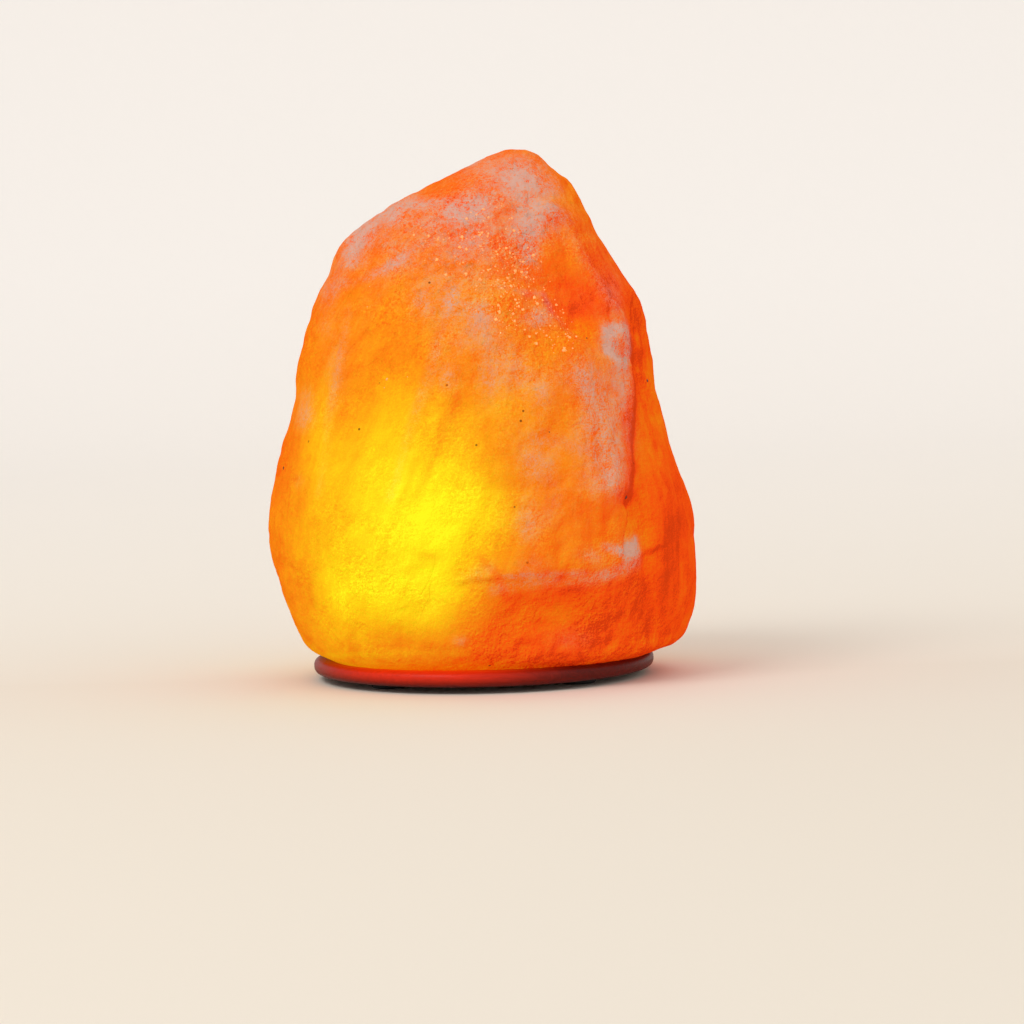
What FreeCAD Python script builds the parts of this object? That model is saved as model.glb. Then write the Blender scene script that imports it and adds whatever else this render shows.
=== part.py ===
"""A salt crystal lamp: a rough rock of pink salt, drilled from below, on a thin wooden disc.

A small screw-base bulb stands inside the drilled hole in a two-piece lampholder. Two leaf clips on
the lampholder press on the wall of the hole, so that the lampholder pulls out downwards to change
the bulb. The bulb screws out against a sprung centre contact.

Millimetres and degrees. +Z is up and -Y is the front. The origin is on the table, under the middle
of the disc. All driving sizes are cells of the spreadsheet "sizes".
"""

import FreeCAD
import Part
import Sketcher
import math
import os
from FreeCAD import Vector

SIZES = [
    # The four feet under the disc
    ("foot_radius", 7.0, "rubber foot"),
    ("foot_thick", 2.5, "rubber foot, which lifts the disc off the table"),
    ("foot_ring", 52.0, "lamp axis to the middle of a foot"),
    ("foot_edge", 0.6, "chamfer round a foot"),
    # The wooden disc
    ("base_radius", 68.0, "wooden disc"),
    ("base_thick", 6.0, "wooden disc"),
    ("rim_round", 2.6, "rounding of the disc's rim, above and below"),
    ("bore_radius", 22.0, "hole drilled through the disc and up into the salt"),
    ("channel_width", 8.0, "channel for the lead under the disc, out to the back"),
    ("channel_deep", 3.6, "depth of that channel in the disc"),
    # The screws that hold the disc to the salt
    ("screw_ring", 40.0, "lamp axis to a screw"),
    ("screw_length", 28.0, "head to point"),
    ("screw_radius", 2.0, "over the thread"),
    ("screw_core", 1.5, "root of the thread"),
    ("screw_head", 4.0, "radius of the countersunk head"),
    ("screw_pitch", 2.0, "thread"),
    ("screw_point", 4.0, "length of the point"),
    ("recess_wide", 1.1, "arm of the cross recess"),
    ("recess_long", 4.6, "across the cross recess"),
    ("recess_deep", 1.6, "cross recess"),
    ("screw_gap", 0.1, "clearance round a screw"),
    # The salt
    ("salt_height", 200.0, "disc to peak"),
    ("salt_left", 83.6, "lamp axis to the left side"),
    ("salt_right", 85.4, "lamp axis to the right side"),
    ("salt_front", 75.5, "lamp axis to the front"),
    ("salt_back", 78.4, "lamp axis to the back"),
    ("bore_deep", 116.0, "straight part of the hole in the salt"),
    ("bore_tip", 9.0, "height of the drill's cone above it"),
    ("bore_flat", 5.5, "radius of the flat at the top of that cone"),
    # The lampholder
    ("lead_space", 12.0, "table to the underside of the lampholder"),
    ("cap_radius", 14.5, "rear cap"),
    ("cap_height", 15.0, "rear cap"),
    ("cap_wall", 2.0, "side wall of the rear cap"),
    ("cap_floor", 3.0, "bottom wall of the rear cap"),
    ("cap_round", 2.4, "rounding of the cap's lower edge"),
    ("inlet_radius", 3.5, "hole in the cap for the lead"),
    ("flute_radius", 1.6, "finger flutes round the cap"),
    ("flute_out", 0.88, "side of the cap to the middle of a flute"),
    ("skirt_radius", 13.0, "sleeve above the cap"),
    ("skirt_wall", 1.8, "sleeve"),
    ("skirt_height", 31.0, "sleeve above the cap's rim"),
    ("mouth_round", 0.54, "rounding of the sleeve's mouth"),
    ("spigot_length", 5.0, "part of the sleeve inside the cap"),
    ("flange_thick", 2.0, "flange that sits on the cap's rim"),
    ("ledge_radius", 10.0, "opening in the ledge that carries the core"),
    ("fit_gap", 0.1, "clearance between pieces of the lampholder"),
    ("core_thick", 8.0, "ceramic core"),
    ("plunger_bore", 3.2, "hole in the core for the centre contact"),
    ("shell_inside", 7.2, "threaded brass shell, radius inside"),
    ("shell_sheet", 0.4, "its sheet"),
    ("shell_height", 20.0, "its height"),
    ("shell_mouth", 4.2, "hole in its bottom, radius"),
    ("stud_ring", 5.7, "lamp axis to a screw through the shell's bottom"),
    ("stud_radius", 0.9, "those screws"),
    ("stud_head", 1.3, "radius of their heads"),
    ("stud_head_thick", 0.9, "thickness of their heads"),
    ("stud_slot", 0.52, "slot in their heads"),
    ("stud_reach", 3.0, "how far they go past the core"),
    # The two terminals under the core
    ("block_near", 3.6, "lamp axis to the near side of a terminal block"),
    ("block_long", 5.4, "terminal block, away from the axis"),
    ("block_wide", 6.0, "terminal block, across"),
    ("block_high", 8.0, "terminal block, with its plate"),
    ("strap_thick", 1.0, "live strap under the centre contact"),
    ("strap_wide", 5.0, "live strap"),
    ("strap_end", 2.6, "live strap past the lamp axis"),
    ("strap_hole", 1.9, "hole in the live strap, radius"),
    ("peg_radius", 1.2, "peg of the live terminal in the core"),
    ("peg_length", 3.0, "that peg"),
    ("clamp_radius", 1.2, "terminal screw"),
    ("clamp_head", 2.3, "its head, radius"),
    ("clamp_head_thick", 1.6, "its head"),
    ("clamp_length", 4.0, "its shank"),
    ("slot_wide", 0.7, "slot in its head"),
    ("wire_hole", 1.1, "hole for a bare wire, radius"),
    ("wire_level", 3.2, "underside of a block to the middle of that hole"),
    # The sprung centre contact
    ("plunger_head", 2.9, "radius of its head"),
    ("plunger_head_thick", 2.0, "its head"),
    ("plunger_stem", 1.5, "radius of its stem"),
    ("plunger_lift", 2.82, "its travel, one turn of the bulb"),
    ("plunger_sink", 0.5, "its head below the top of the core"),
    ("retainer_radius", 2.3, "riveted end of the stem"),
    ("retainer_thick", 0.8, "riveted end of the stem"),
    ("coil_radius", 2.35, "contact spring, mean"),
    ("coil_wire", 0.3, "contact spring's wire, radius"),
    # The clips
    ("collar_thick", 0.8, "steel collar on the flange"),
    ("collar_width", 2.6, "ring of the collar"),
    ("lock_ring_high", 4.2, "ring that holds the collar down"),
    ("lock_ring_wide", 2.1, "its section, across"),
    ("notch_radius", 0.84, "finger notches round it"),
    ("notch_out", 0.34, "side of the ring to the middle of a notch"),
    ("pin_inset", 4.8, "wall of the hole to the middle of a clip's pin"),
    ("pin_over", 0.3, "lock ring to the ears of the collar, up"),
    ("pin_radius", 0.8, "clip's pin"),
    ("pin_gap", 0.05, "running clearance round the pin"),
    ("pin_head", 1.4, "radius of the pin's heads"),
    ("pin_head_thick", 0.6, "the pin's heads"),
    ("ear_inside", 6.5, "lamp's middle plane to an ear of the collar"),
    ("ear_thick", 0.8, "ear of the collar"),
    ("ear_radius", 1.9, "ear round the pin"),
    ("clip_wide", 8.0, "leaf clip"),
    ("clip_sheet", 0.6, "leaf clip"),
    ("clip_rise", 22.0, "pin to the clip's knee"),
    ("clip_tip_rise", 8.0, "knee to the clip's tip"),
    ("clip_tip_turn", 2.2, "tip inside the knee"),
    ("knuckle_radius", 1.6, "roll of the clip round its pin"),
    ("wall_gap", 0.3, "clip to the wall of the hole"),
    ("twist_wire", 0.25, "torsion spring's wire, radius"),
    ("twist_radius", 1.25, "torsion spring, mean"),
    ("twist_pitch", 0.56, "torsion spring"),
    # The bulb
    ("cap_thread", 6.9, "bulb cap over its thread"),
    ("cap_root", 6.5, "root of that thread"),
    ("cap_inside", 6.15, "inside of the bulb cap"),
    ("thread_pitch", 2.82, "thread of the bulb"),
    ("cap_skirt", 3.0, "plain top of the bulb cap"),
    ("tip_radius", 2.4, "contact at the bulb's end"),
    ("tip_thick", 1.5, "that contact"),
    ("insulator_high", 3.6, "black glass between contact and cap"),
    ("neck_radius", 6.0, "neck of the glass"),
    ("neck_in_cap", 6.0, "neck inside the cap"),
    ("neck_above", 1.2, "neck above the cap"),
    ("glass_radius", 13.0, "widest part of the glass"),
    ("glass_flare", 14.0, "height over which it widens"),
    ("glass_high", 23.0, "widest part to the top"),
    ("glass_wall", 0.7, "glass"),
    ("stem_radius", 2.8, "glass stem"),
    ("stem_high", 16.0, "glass stem"),
    ("stem_bore", 1.0, "exhaust tube in the stem"),
    ("stem_sealed", 4.2, "solid top of the stem, and height of its foot"),
    ("lead_radius", 0.3, "lead wires in the bulb"),
    ("lead_apart", 1.2, "lamp axis to a lead wire at the stem"),
    ("lead_spread", 6.5, "lamp axis to a lead wire's end"),
    ("lead_high", 15.0, "stem to a lead wire's end"),
    ("lead_straight", 3.4, "upright part at each end of a lead wire"),
    ("support_radius", 0.21, "wire that supports the filament's middle"),
    ("filament_radius", 0.2, "filament"),
    ("filament_arch", 3.6, "rise of the filament over its ends"),
    ("wire_gap", 0.2, "lead wire to the filament"),
]

# Where things stand round the lamp, in degrees from +X, and how many there are.
FOOT_ANGLES = (45, 135, 225, 315)
SCREW_ANGLES = (30, 150, 270)
STUD_ANGLES = (60, 180, 300)
FLUTES = 12
CAP_THREADS = 4
SCREW_THREADS = 9
COIL_TURNS = 4.5
TWIST_TURNS = 3

# Shares: a thread's flank of its pitch, the bulb's roundings of its radius, and the part of the
# shorter run beside a bend of a wire that the bend takes.
THREAD_FLANK = 0.35
DOME_SHARE = 0.94
BELLY_SHARE = 0.62
BEND_SHARE = 0.4

# The rock's outline, from the disc up: height as a share of salt_height, then how far the left,
# right, front and back sides stand from the lamp's axis, as shares of salt_left and the others.
# A side past the axis is negative: the peak leans to the right.
ROCK = (
    (0.000, 0.730, 0.775, 0.800, 0.800),
    (0.020, 0.825, 0.905, 0.870, 0.865),
    (0.060, 0.900, 0.952, 0.925, 0.920),
    (0.130, 0.968, 0.998, 0.975, 0.970),
    (0.240, 0.998, 1.006, 1.000, 1.000),
    (0.320, 1.000, 0.969, 0.990, 0.985),
    (0.420, 0.952, 0.896, 0.940, 0.945),
    (0.520, 0.876, 0.842, 0.870, 0.890),
    (0.590, 0.880, 0.827, 0.815, 0.850),
    (0.680, 0.803, 0.802, 0.725, 0.770),
    (0.760, 0.698, 0.682, 0.620, 0.680),
    (0.830, 0.618, 0.580, 0.505, 0.575),
    (0.880, 0.430, 0.526, 0.405, 0.480),
    (0.930, 0.228, 0.463, 0.300, 0.375),
    (0.970, 0.026, 0.362, 0.195, 0.270),
    (0.990, -0.085, 0.310, 0.120, 0.175),
    (1.000, -0.145, 0.265, 0.065, 0.110),
)
ROCK_SQUARENESS = 2.3

# The rock's surface has this many control points round it and up it, closer together at the top.
ROCK_COLUMNS = 96
ROCK_ROWS = 60
ROCK_EASE = 1.4

# Hollows (positive) and swellings (negative) of the rock's side: depth as a share of the radius,
# the angle and half width round the lamp, and the height and half height as shares.
ROCK_HOLLOWS = (
    (0.060, -42, 9, 0.30, 0.26),
    (0.050, -66, 15, 0.09, 0.08),
    (0.050, -62, 13, 0.70, 0.11),
    (-0.020, -52, 9, 0.52, 0.14),
    (-0.020, -75, 20, 0.20, 0.05),
    (0.025, -125, 14, 0.66, 0.16),
    (0.030, 60, 14, 0.34, 0.20),
    (0.035, 118, 16, 0.58, 0.18),
    (-0.020, 150, 12, 0.36, 0.16),
)

# Long swells of the surface: height in mm, waves round the rock, waves up it, phase in degrees.
# They die away over this share of the height below the peak, where the rock is narrow.
SWELL_FADE = 0.55
ROCK_SWELLS = (
    (0.60, 3, 1.6, 20),
    (0.50, 5, -2.3, 140),
    (0.45, 8, 3.1, 75),
    (0.40, 11, -4.2, 200),
    (0.35, 14, 5.5, 310),
)

# Flat breaks on the sides and the back: the angle and share of the height of the middle, how far
# the break faces aside and up from the surface there, as slopes, and its depth in mm.
ROCK_BREAKS = (
    (24, 0.16, 0.10, -0.05, 2.6),
    (30, 0.50, -0.12, 0.10, 2.8),
    (40, 0.78, 0.10, 0.08, 2.6),
    (52, 0.28, 0.08, 0.12, 3.0),
    (66, 0.62, -0.10, -0.08, 2.8),
    (74, 0.10, 0.05, -0.10, 2.4),
    (84, 0.42, 0.12, 0.05, 3.2),
    (92, 0.84, -0.08, 0.10, 2.8),
    (103, 0.22, -0.12, 0.08, 2.6),
    (112, 0.64, 0.10, -0.05, 3.2),
    (127, 0.40, -0.10, 0.10, 3.0),
    (136, 0.12, 0.08, -0.08, 2.6),
    (146, 0.72, 0.12, 0.06, 2.8),
    (154, 0.27, -0.10, -0.06, 2.8),
    (160, 0.52, 0.08, 0.08, 2.2),
    (-150, 0.14, 0.10, -0.08, 1.8),
    (-154, 0.36, -0.12, 0.06, 1.8),
    (-146, 0.80, 0.10, 0.05, 1.6),
    (-26, 0.60, 0.10, 0.08, 1.6),
    (-24, 0.18, -0.10, 0.06, 1.8),
)
# How far across a break reaches, and how far the rock is worn at its edge, in mm.
BREAK_REACH = 45
BREAK_WEAR = 2.4

# The marks on the front are placed as an eye sees them that stands in front of the lamp, looks
# down a little and aims at a point of the lamp's middle plane. They are in mm for a rock that is
# MARKED_HEIGHT high, across to the right and up from the table.
MARKED_HEIGHT = 200
EYE_DISTANCE = 1400
EYE_DOWN = 4
EYE_AIM = (12.7, 64.8)

# Steps, where the left of the line's way stands proud and its right is sunk: the line, the rise
# of each side, how far each side runs out, and half the width of the edge.
ROCK_STEPS = (
    (((59, 67), (61, 79), (63, 106), (64, 132)), 2.0, 12, 2.4),
    (((54, 126), (47, 129), (38, 136), (31, 145), (27, 153), (19, 153), (10, 155)), 2.0, 10, 3.0),
    (((5, 38), (11, 38.5), (25, 39), (41, 39.6), (54, 42), (64, 46)), 1.1, 10, 2.5),
)

# Ridges (positive) and grooves (negative): the line, its half width and its height.
ROCK_RIDGES = (
    (((59, 67), (65, 58), (66, 42), (70, 22), (70, 9)), 3.2, -2.0),
    (((29, 186), (37, 180), (42, 168), (50, 155), (62, 138), (67, 130)), 3.6, 1.8),
    (((-50, 150), (-53, 141), (-55, 122), (-60, 101), (-62, 82), (-63, 66)), 4.5, 1.2),
    (((-24, 190), (-40, 183), (-50, 171), (-56, 157), (-60, 141)), 4.0, 1.2),
    (((-1, 150), (-6, 131), (-12, 113), (-21, 94), (-29, 75), (-40, 60)), 6.0, 0.9),
    (((-30, 184), (-16, 185), (-4, 183), (5, 174), (9, 158)), 4.5, 1.0),
    (((57, 131), (58, 111), (55, 93), (53, 73)), 5.0, 1.6),
    (((5, 36), (25, 37), (41, 37.6), (54, 40), (64, 44)), 4.5, 0.9),
    (((6, 72), (-2, 56), (-8, 40)), 3.5, -0.7),
)

# Lumps (positive) and dents (negative): the middle, the half width and half height, how far the
# long side is turned, in degrees, and the height.
ROCK_LUMPS = (
    (42, 145, 9, 13, 35, -2.4),
    (58, 156, 9, 18, 30, -1.4),
    (33, 22, 26, 9, 4, -2.4),
    (31, 184, 6, 4, 0, 1.6),
    (57, 134, 5.5, 5.5, 0, 2.2),
    (-48, 169, 5, 4, 0, 1.4),
    (60, 47, 5, 4.5, 0, 1.3),
    (-69, 104, 6, 5, 0, 1.0),
    (-38, 118, 12, 16, 0, -1.0),
)

doc = FreeCAD.newDocument("salt_lamp")
sheet = doc.addObject("Spreadsheet::Sheet", "sizes")
for row, (alias, value, note) in enumerate(SIZES, start=1):
    sheet.set(f"A{row}", note)
    sheet.set(f"B{row}", str(value))
    sheet.setAlias(f"B{row}", alias)
doc.recompute()


class Size:
    """A length that knows both its value and the expression that gives it from the sheet."""

    def __init__(self, text, value):
        self.text = text
        self.value = value

    def __add__(self, other):
        return self._join("+", other, self.value + plain(other))

    def __sub__(self, other):
        return self._join("-", other, self.value - plain(other))

    def __mul__(self, other):
        return self._join("*", other, self.value * plain(other))

    def __truediv__(self, other):
        return self._join("/", other, self.value / plain(other))

    def __neg__(self):
        return self * -1

    def _join(self, sign, other, value):
        right = other.text if isinstance(other, Size) else f"({other})"
        return Size(f"({self.text} {sign} {right})", value)


def plain(number):
    """The value of a Size, or the number itself."""
    return number.value if isinstance(number, Size) else number


def size(alias):
    """The size that a cell of the sheet holds."""
    return Size(f"sizes.{alias}", float(sheet.get(alias)))


ZERO = Size("0", 0.0)

# Lengths nearer than this are the same, and a sine or cosine below the second is nought.
CLOSE = 1e-4
TINY = 1e-9

# The most that a rounding takes of the wall it is on.
ROUND_SHARE = 0.45

# How far a cut runs past the wall that it opens, as a multiple of what it cuts.
PAST = 1.2


def smaller(first, second):
    """The smaller of two sizes, as for a rounding that its wall limits."""
    return Size(f"min({first.text}; {second.text})", min(first.value, second.value))


def chord(radius, half_width):
    """How far from the axis a circle is, half_width to the side of its middle line."""
    text = f"sqrt({radius.text} * {radius.text} - {half_width.text} * {half_width.text})"
    return Size(text, math.sqrt(radius.value**2 - half_width.value**2))


def bind(thing, name, length):
    """Ties a property of a document object to the sheet."""
    thing.setExpression(name, length.text)


def new_body(label):
    """An empty body."""
    made = doc.addObject("PartDesign::Body", label)
    made.Label = label
    return made


def origin_plane(body, role):
    """One of the body's own origin planes or axes."""
    return next(o for o in body.Origin.OriginFeatures if o.Role == role)


def new_sketch(body, name, role="XZ_Plane", lift=ZERO):
    """A sketch on one of the body's origin planes, or lift away from it."""
    sketch = body.newObject("Sketcher::SketchObject", name)
    sketch.AttachmentSupport = [(origin_plane(body, role), "")]
    sketch.MapMode = "FlatFace"
    if lift is not ZERO:
        bind(sketch, "AttachmentOffset.Base.z", lift)
    return sketch


def hold(sketch, kind, shape, point, length):
    """Holds a point of a sketch at a distance from the sketch's origin, along X or Y."""
    if length is ZERO:
        axis = -2 if kind == "DistanceX" else -1
        sketch.addConstraint(Sketcher.Constraint("PointOnObject", shape, point, axis))
        return
    made = sketch.addConstraint(Sketcher.Constraint(kind, -1, 1, shape, point, length.value))
    sketch.setExpression(f"Constraints[{made}]", length.text)


def draw_outline(sketch, corners):
    """A closed outline with straight sides, each corner held by two sizes."""
    count = len(corners)
    first = sketch.GeometryCount
    for i in range(count):
        here, there = corners[i], corners[(i + 1) % count]
        start = Vector(here[0].value, here[1].value)
        end = Vector(there[0].value, there[1].value)
        sketch.addGeometry(Part.LineSegment(start, end), False)
    for i in range(count):
        following = first + (i + 1) % count
        sketch.addConstraint(Sketcher.Constraint("Coincident", first + i, 2, following, 1))
    for i, (across, up) in enumerate(corners):
        hold(sketch, "DistanceX", first + i, 1, across)
        hold(sketch, "DistanceY", first + i, 1, up)


def draw_circle(sketch, across, up, radius):
    """A circle whose middle and radius are held by sizes."""
    middle = Vector(across.value, up.value)
    made = sketch.addGeometry(Part.Circle(middle, Vector(0, 0, 1), radius.value), False)
    hold(sketch, "DistanceX", made, 3, across)
    hold(sketch, "DistanceY", made, 3, up)
    held = sketch.addConstraint(Sketcher.Constraint("Radius", made, radius.value))
    sketch.setExpression(f"Constraints[{held}]", radius.text)


def draw_rectangle(sketch, left, low, right, high):
    """A rectangle between two corners."""
    draw_outline(sketch, [(left, low), (right, low), (right, high), (left, high)])


def turned(body, name, corners):
    """Turns an outline, drawn as radius and height, about the body's Z axis."""
    sketch = new_sketch(body, name + "_outline")
    draw_outline(sketch, corners)
    made = body.newObject("PartDesign::Revolution", name)
    made.Profile = sketch
    made.ReferenceAxis = (sketch, ["V_Axis"])
    made.Angle = 360
    doc.recompute()
    return made


def pushed(body, kind, sketch, length, reverse=False, both_ways=False):
    """Pads or pockets a sketch by a length."""
    made = body.newObject(kind, sketch.Name + "_push")
    made.Profile = sketch
    bind(made, "Length", length)
    made.Reversed = reverse
    made.Midplane = both_ways
    doc.recompute()
    return made


def round_pattern(body, feature, count):
    """Repeats a feature round the Z axis."""
    made = body.newObject("PartDesign::PolarPattern", feature.Name + "_round")
    made.Originals = [feature]
    made.Axis = (origin_plane(body, "Z_Axis"), [""])
    made.Angle = 360
    made.Occurrences = count
    body.Tip = made
    doc.recompute()
    return made


def ring_edges(shape, *rings):
    """The names of the round edges about Z with these radii and heights."""
    found = []
    for number, edge in enumerate(shape.Edges, start=1):
        if not isinstance(edge.Curve, Part.Circle):
            continue
        for radius, height in rings:
            radius_fits = abs(edge.Curve.Radius - radius.value) < CLOSE
            if radius_fits and abs(edge.Curve.Center.z - height.value) < CLOSE:
                found.append(f"Edge{number}")
    return found


def dressed(body, kind, base, edges, name, length):
    """Fillets or chamfers some edges of the body's last feature."""
    made = body.newObject(kind, base.Name + "_" + name)
    made.Base = (base, edges)
    bind(made, "Radius" if kind.endswith("Fillet") else "Size", length)
    body.Tip = made
    doc.recompute()
    return made


def primitive(kind, name, **lengths):
    """A Part primitive whose named sizes are bound to the sheet."""
    made = doc.addObject(kind, name)
    for key, length in lengths.items():
        bind(made, key, length)
    return made


def place(thing, x=ZERO, y=ZERO, z=ZERO, turn=None):
    """Puts an object somewhere, by sizes, turned by an axis and an angle if they are given."""
    if turn:
        thing.Placement = FreeCAD.Placement(Vector(), FreeCAD.Rotation(*turn))
    for key, length in (("x", x), ("y", y), ("z", z)):
        if length is not ZERO:
            bind(thing, f"Placement.Base.{key}", length)


def round_spot(ring, angle):
    """X and Y of a point on a circle about Z."""
    return ring * cos_deg(angle), ring * sin_deg(angle)


def place_round(thing, ring, angle, z=ZERO):
    """Puts an object on a circle about Z, turned to face outwards."""
    turn = (Vector(0, 0, 1), angle)
    place(thing, *round_spot(ring, angle), z, turn)


def cos_deg(angle):
    """The cosine of an angle in degrees, exactly nought at a right angle."""
    value = math.cos(math.radians(angle))
    return value if abs(value) > TINY else 0.0


def sin_deg(angle):
    """The sine of an angle in degrees, exactly nought at a straight angle."""
    value = math.sin(math.radians(angle))
    return value if abs(value) > TINY else 0.0


def box(name, x, y, z, corner):
    """A block of the given sizes with its lowest corner at the three sizes in corner."""
    made = primitive("Part::Box", name, Length=x, Width=y, Height=z)
    place(made, *corner)
    return made


def rod(name, radius, length, x=ZERO, y=ZERO, z=ZERO, turn=None):
    """A cylinder."""
    made = primitive("Part::Cylinder", name, Radius=radius, Height=length)
    place(made, x, y, z, turn)
    return made


def joined(label, pieces):
    """One object made of several that overlap or touch."""
    made = doc.addObject("Part::MultiFuse", label)
    made.Shapes = pieces
    made.Label = label
    return made


def cut_from(label, base, tool):
    """An object less another."""
    made = doc.addObject("Part::Cut", label)
    made.Base = base
    made.Tool = tool
    made.Label = label
    return made


def group(label, pieces):
    """Several separate solids under one name."""
    made = doc.addObject("Part::Compound", label)
    made.Links = pieces
    made.Label = label
    return made


def free_form(label, shape):
    """An object whose shape is worked out here."""
    made = doc.addObject("Part::Feature", label)
    made.Label = label
    made.Shape = shape
    return made


# Heights and radii that several pieces share.
seat = size("foot_thick") + size("base_thick")
screw_neck = size("screw_head") - size("screw_radius")
shank_length = size("screw_length") - size("screw_point")
screw_hole = size("screw_radius") + size("screw_gap")
cap_bottom = size("lead_space")
cap_top = cap_bottom + size("cap_height")
flange_top = cap_top + size("flange_thick")
skirt_top = cap_top + size("skirt_height")
spigot_low = cap_top - size("spigot_length")
skirt_inside = size("skirt_radius") - size("skirt_wall")
core_top = cap_top + size("core_thick")
shell_outside = size("shell_inside") + size("shell_sheet")
plunger_base = core_top - size("plunger_sink")
plunger_top = plunger_base + size("plunger_head_thick")
block_low = cap_top - size("block_high")
collar_top = flange_top + size("collar_thick")
pin_level = collar_top + size("lock_ring_high") + size("pin_over") + size("ear_radius")
pin_reach = size("bore_radius") - size("pin_inset")
clip_edge = chord(size("bore_radius") - size("wall_gap"), size("clip_wide") / 2)
knee = pin_level + size("clip_rise")
cap_low = plunger_top + size("tip_thick") + size("insulator_high")
thread_low = cap_low + size("thread_pitch") / 4
cap_high = thread_low + size("thread_pitch") * CAP_THREADS + size("cap_skirt")
neck_low = cap_high - size("neck_in_cap")
flare_low = cap_high + size("neck_above")
flare_high = flare_low + size("glass_flare")
glass_top = flare_high + size("glass_high")
stem_top = neck_low + size("stem_high")
lead_top = stem_top + size("lead_high")

# The rock's own sizes in mm, for its surface.
SALT_SIDES = ("salt_left", "salt_right", "salt_front", "salt_back")
salt_reaches = [size(name).value for name in SALT_SIDES]
salt_height = size("salt_height").value


def make_rubber_feet():
    """Four round pads stuck under the disc."""
    feet = []
    for number, angle in enumerate(FOOT_ANGLES, start=1):
        pad = new_body(f"foot_{number}")
        radius, thick = size("foot_radius"), size("foot_thick")
        corners = [(ZERO, ZERO), (radius, ZERO), (radius, thick), (ZERO, thick)]
        slab = turned(pad, f"foot_{number}_slab", corners)
        low_edge = ring_edges(slab.Shape, (radius, ZERO))
        dressed(pad, "PartDesign::Chamfer", slab, low_edge, "edge", size("foot_edge"))
        place_round(pad, size("foot_ring"), angle)
        feet.append(pad)
    group("rubber_feet", feet)


def make_wooden_base():
    """The wooden disc: a round rim, the hole for the bulb, three screw holes and a channel."""
    base = new_body("wooden_base")
    low, bore, rim = size("foot_thick"), size("bore_radius"), size("base_radius")
    disc = turned(base, "disc", [(bore, low), (rim, low), (rim, seat), (bore, seat)])
    rounding = smaller(size("rim_round"), size("base_thick") * ROUND_SHARE)
    rims = ring_edges(disc.Shape, (rim, low), (rim, seat))
    dressed(base, "PartDesign::Fillet", disc, rims, "rim", rounding)

    channel = new_sketch(base, "channel", "XY_Plane", low)
    half = size("channel_width") / 2
    draw_rectangle(channel, -half, ZERO, half, rim * PAST)
    pushed(base, "PartDesign::Pocket", channel, size("channel_deep"), reverse=True)

    # A screw hole in the front, cut by turning its outline about the screw's own axis.
    hole = new_sketch(base, "screw_hole", "YZ_Plane")
    middle = -size("screw_ring")
    corners = [
        (middle, low),
        (middle + size("screw_head") + size("screw_gap"), low),
        (middle + screw_hole, low + screw_neck),
        (middle + screw_hole, seat),
        (middle, seat),
    ]
    draw_outline(hole, corners)
    sunk = base.newObject("PartDesign::Groove", "screw_hole_cut")
    sunk.Profile = hole
    sunk.ReferenceAxis = (hole, [f"Edge{len(corners)}"])
    sunk.Angle = 360
    doc.recompute()
    round_pattern(base, sunk, len(SCREW_ANGLES))


def make_base_screws():
    """Three countersunk screws with a cross recess, up through the disc into the salt."""
    over, core, pitch = size("screw_radius"), size("screw_core"), size("screw_pitch")
    long, wide = size("recess_long") / 2, size("recess_wide") / 2
    corners = [(ZERO, ZERO), (size("screw_head"), ZERO), (over, screw_neck)]
    for turn in range(SCREW_THREADS):
        root = shank_length - pitch * (SCREW_THREADS - turn)
        corners += [(core, root), (over, root + pitch / 2)]
    corners += [(core, shank_length), (ZERO, size("screw_length"))]
    screws = []
    for number, angle in enumerate(SCREW_ANGLES, start=1):
        screw = new_body(f"screw_{number}")
        turned(screw, f"screw_{number}_shank", corners)
        for arm, (across, up) in enumerate(((long, wide), (wide, long)), start=1):
            recess = new_sketch(screw, f"screw_{number}_recess_{arm}", "XY_Plane")
            draw_rectangle(recess, -across, -up, across, up)
            pushed(screw, "PartDesign::Pocket", recess, size("recess_deep"), reverse=True)
        place_round(screw, size("screw_ring"), angle, size("foot_thick"))
        screws.append(screw)
    group("base_screws", screws)


def bell(away, width):
    """A smooth bump of height 1 at nought."""
    return math.exp(-((away / width) ** 2))


def eased(share):
    """Rises from 0 to 1 as the share does, level at both ends."""
    share = min(max(share, 0), 1)
    return share * share * (3 - 2 * share)


def rock_side(share, side):
    """How far one side of the outline stands from the axis, on a smooth curve through ROCK."""
    last = len(ROCK) - 1
    index = 0
    while index < last - 1 and share > ROCK[index + 1][0]:
        index += 1
    here, there = ROCK[index], ROCK[index + 1]
    before, after = ROCK[max(index - 1, 0)], ROCK[min(index + 2, last)]
    span = there[0] - here[0]
    start = (there[side] - before[side]) / (there[0] - before[0]) * span
    end = (after[side] - here[side]) / (after[0] - here[0]) * span
    t = (share - here[0]) / span
    level = (2 * t**3 - 3 * t**2 + 1) * here[side] + (3 * t**2 - 2 * t**3) * there[side]
    return level + (t**3 - 2 * t**2 + t) * start + (t**3 - t**2) * end


def rock_point(angle, share):
    """A point of the rock's smooth outline, at an angle and a share of its height."""
    sides = [rock_side(share, side) * reach for side, reach in enumerate(salt_reaches, start=1)]
    left, right, front, back = sides
    across, along = cos_deg(angle), sin_deg(angle)
    power = ROCK_SQUARENESS
    corner = (abs(across) ** power + abs(along) ** power) ** (-1 / power)
    for deep, middle, half, level, half_level in ROCK_HOLLOWS:
        away = (angle - middle + 180) % 360 - 180
        corner *= 1 - deep * bell(away, half) * bell(share - level, half_level)
    x = (right - left) / 2 + (right + left) / 2 * corner * across
    y = (back - front) / 2 + (back + front) / 2 * corner * along
    return Vector(x, y, seat.value + share * salt_height)


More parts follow.
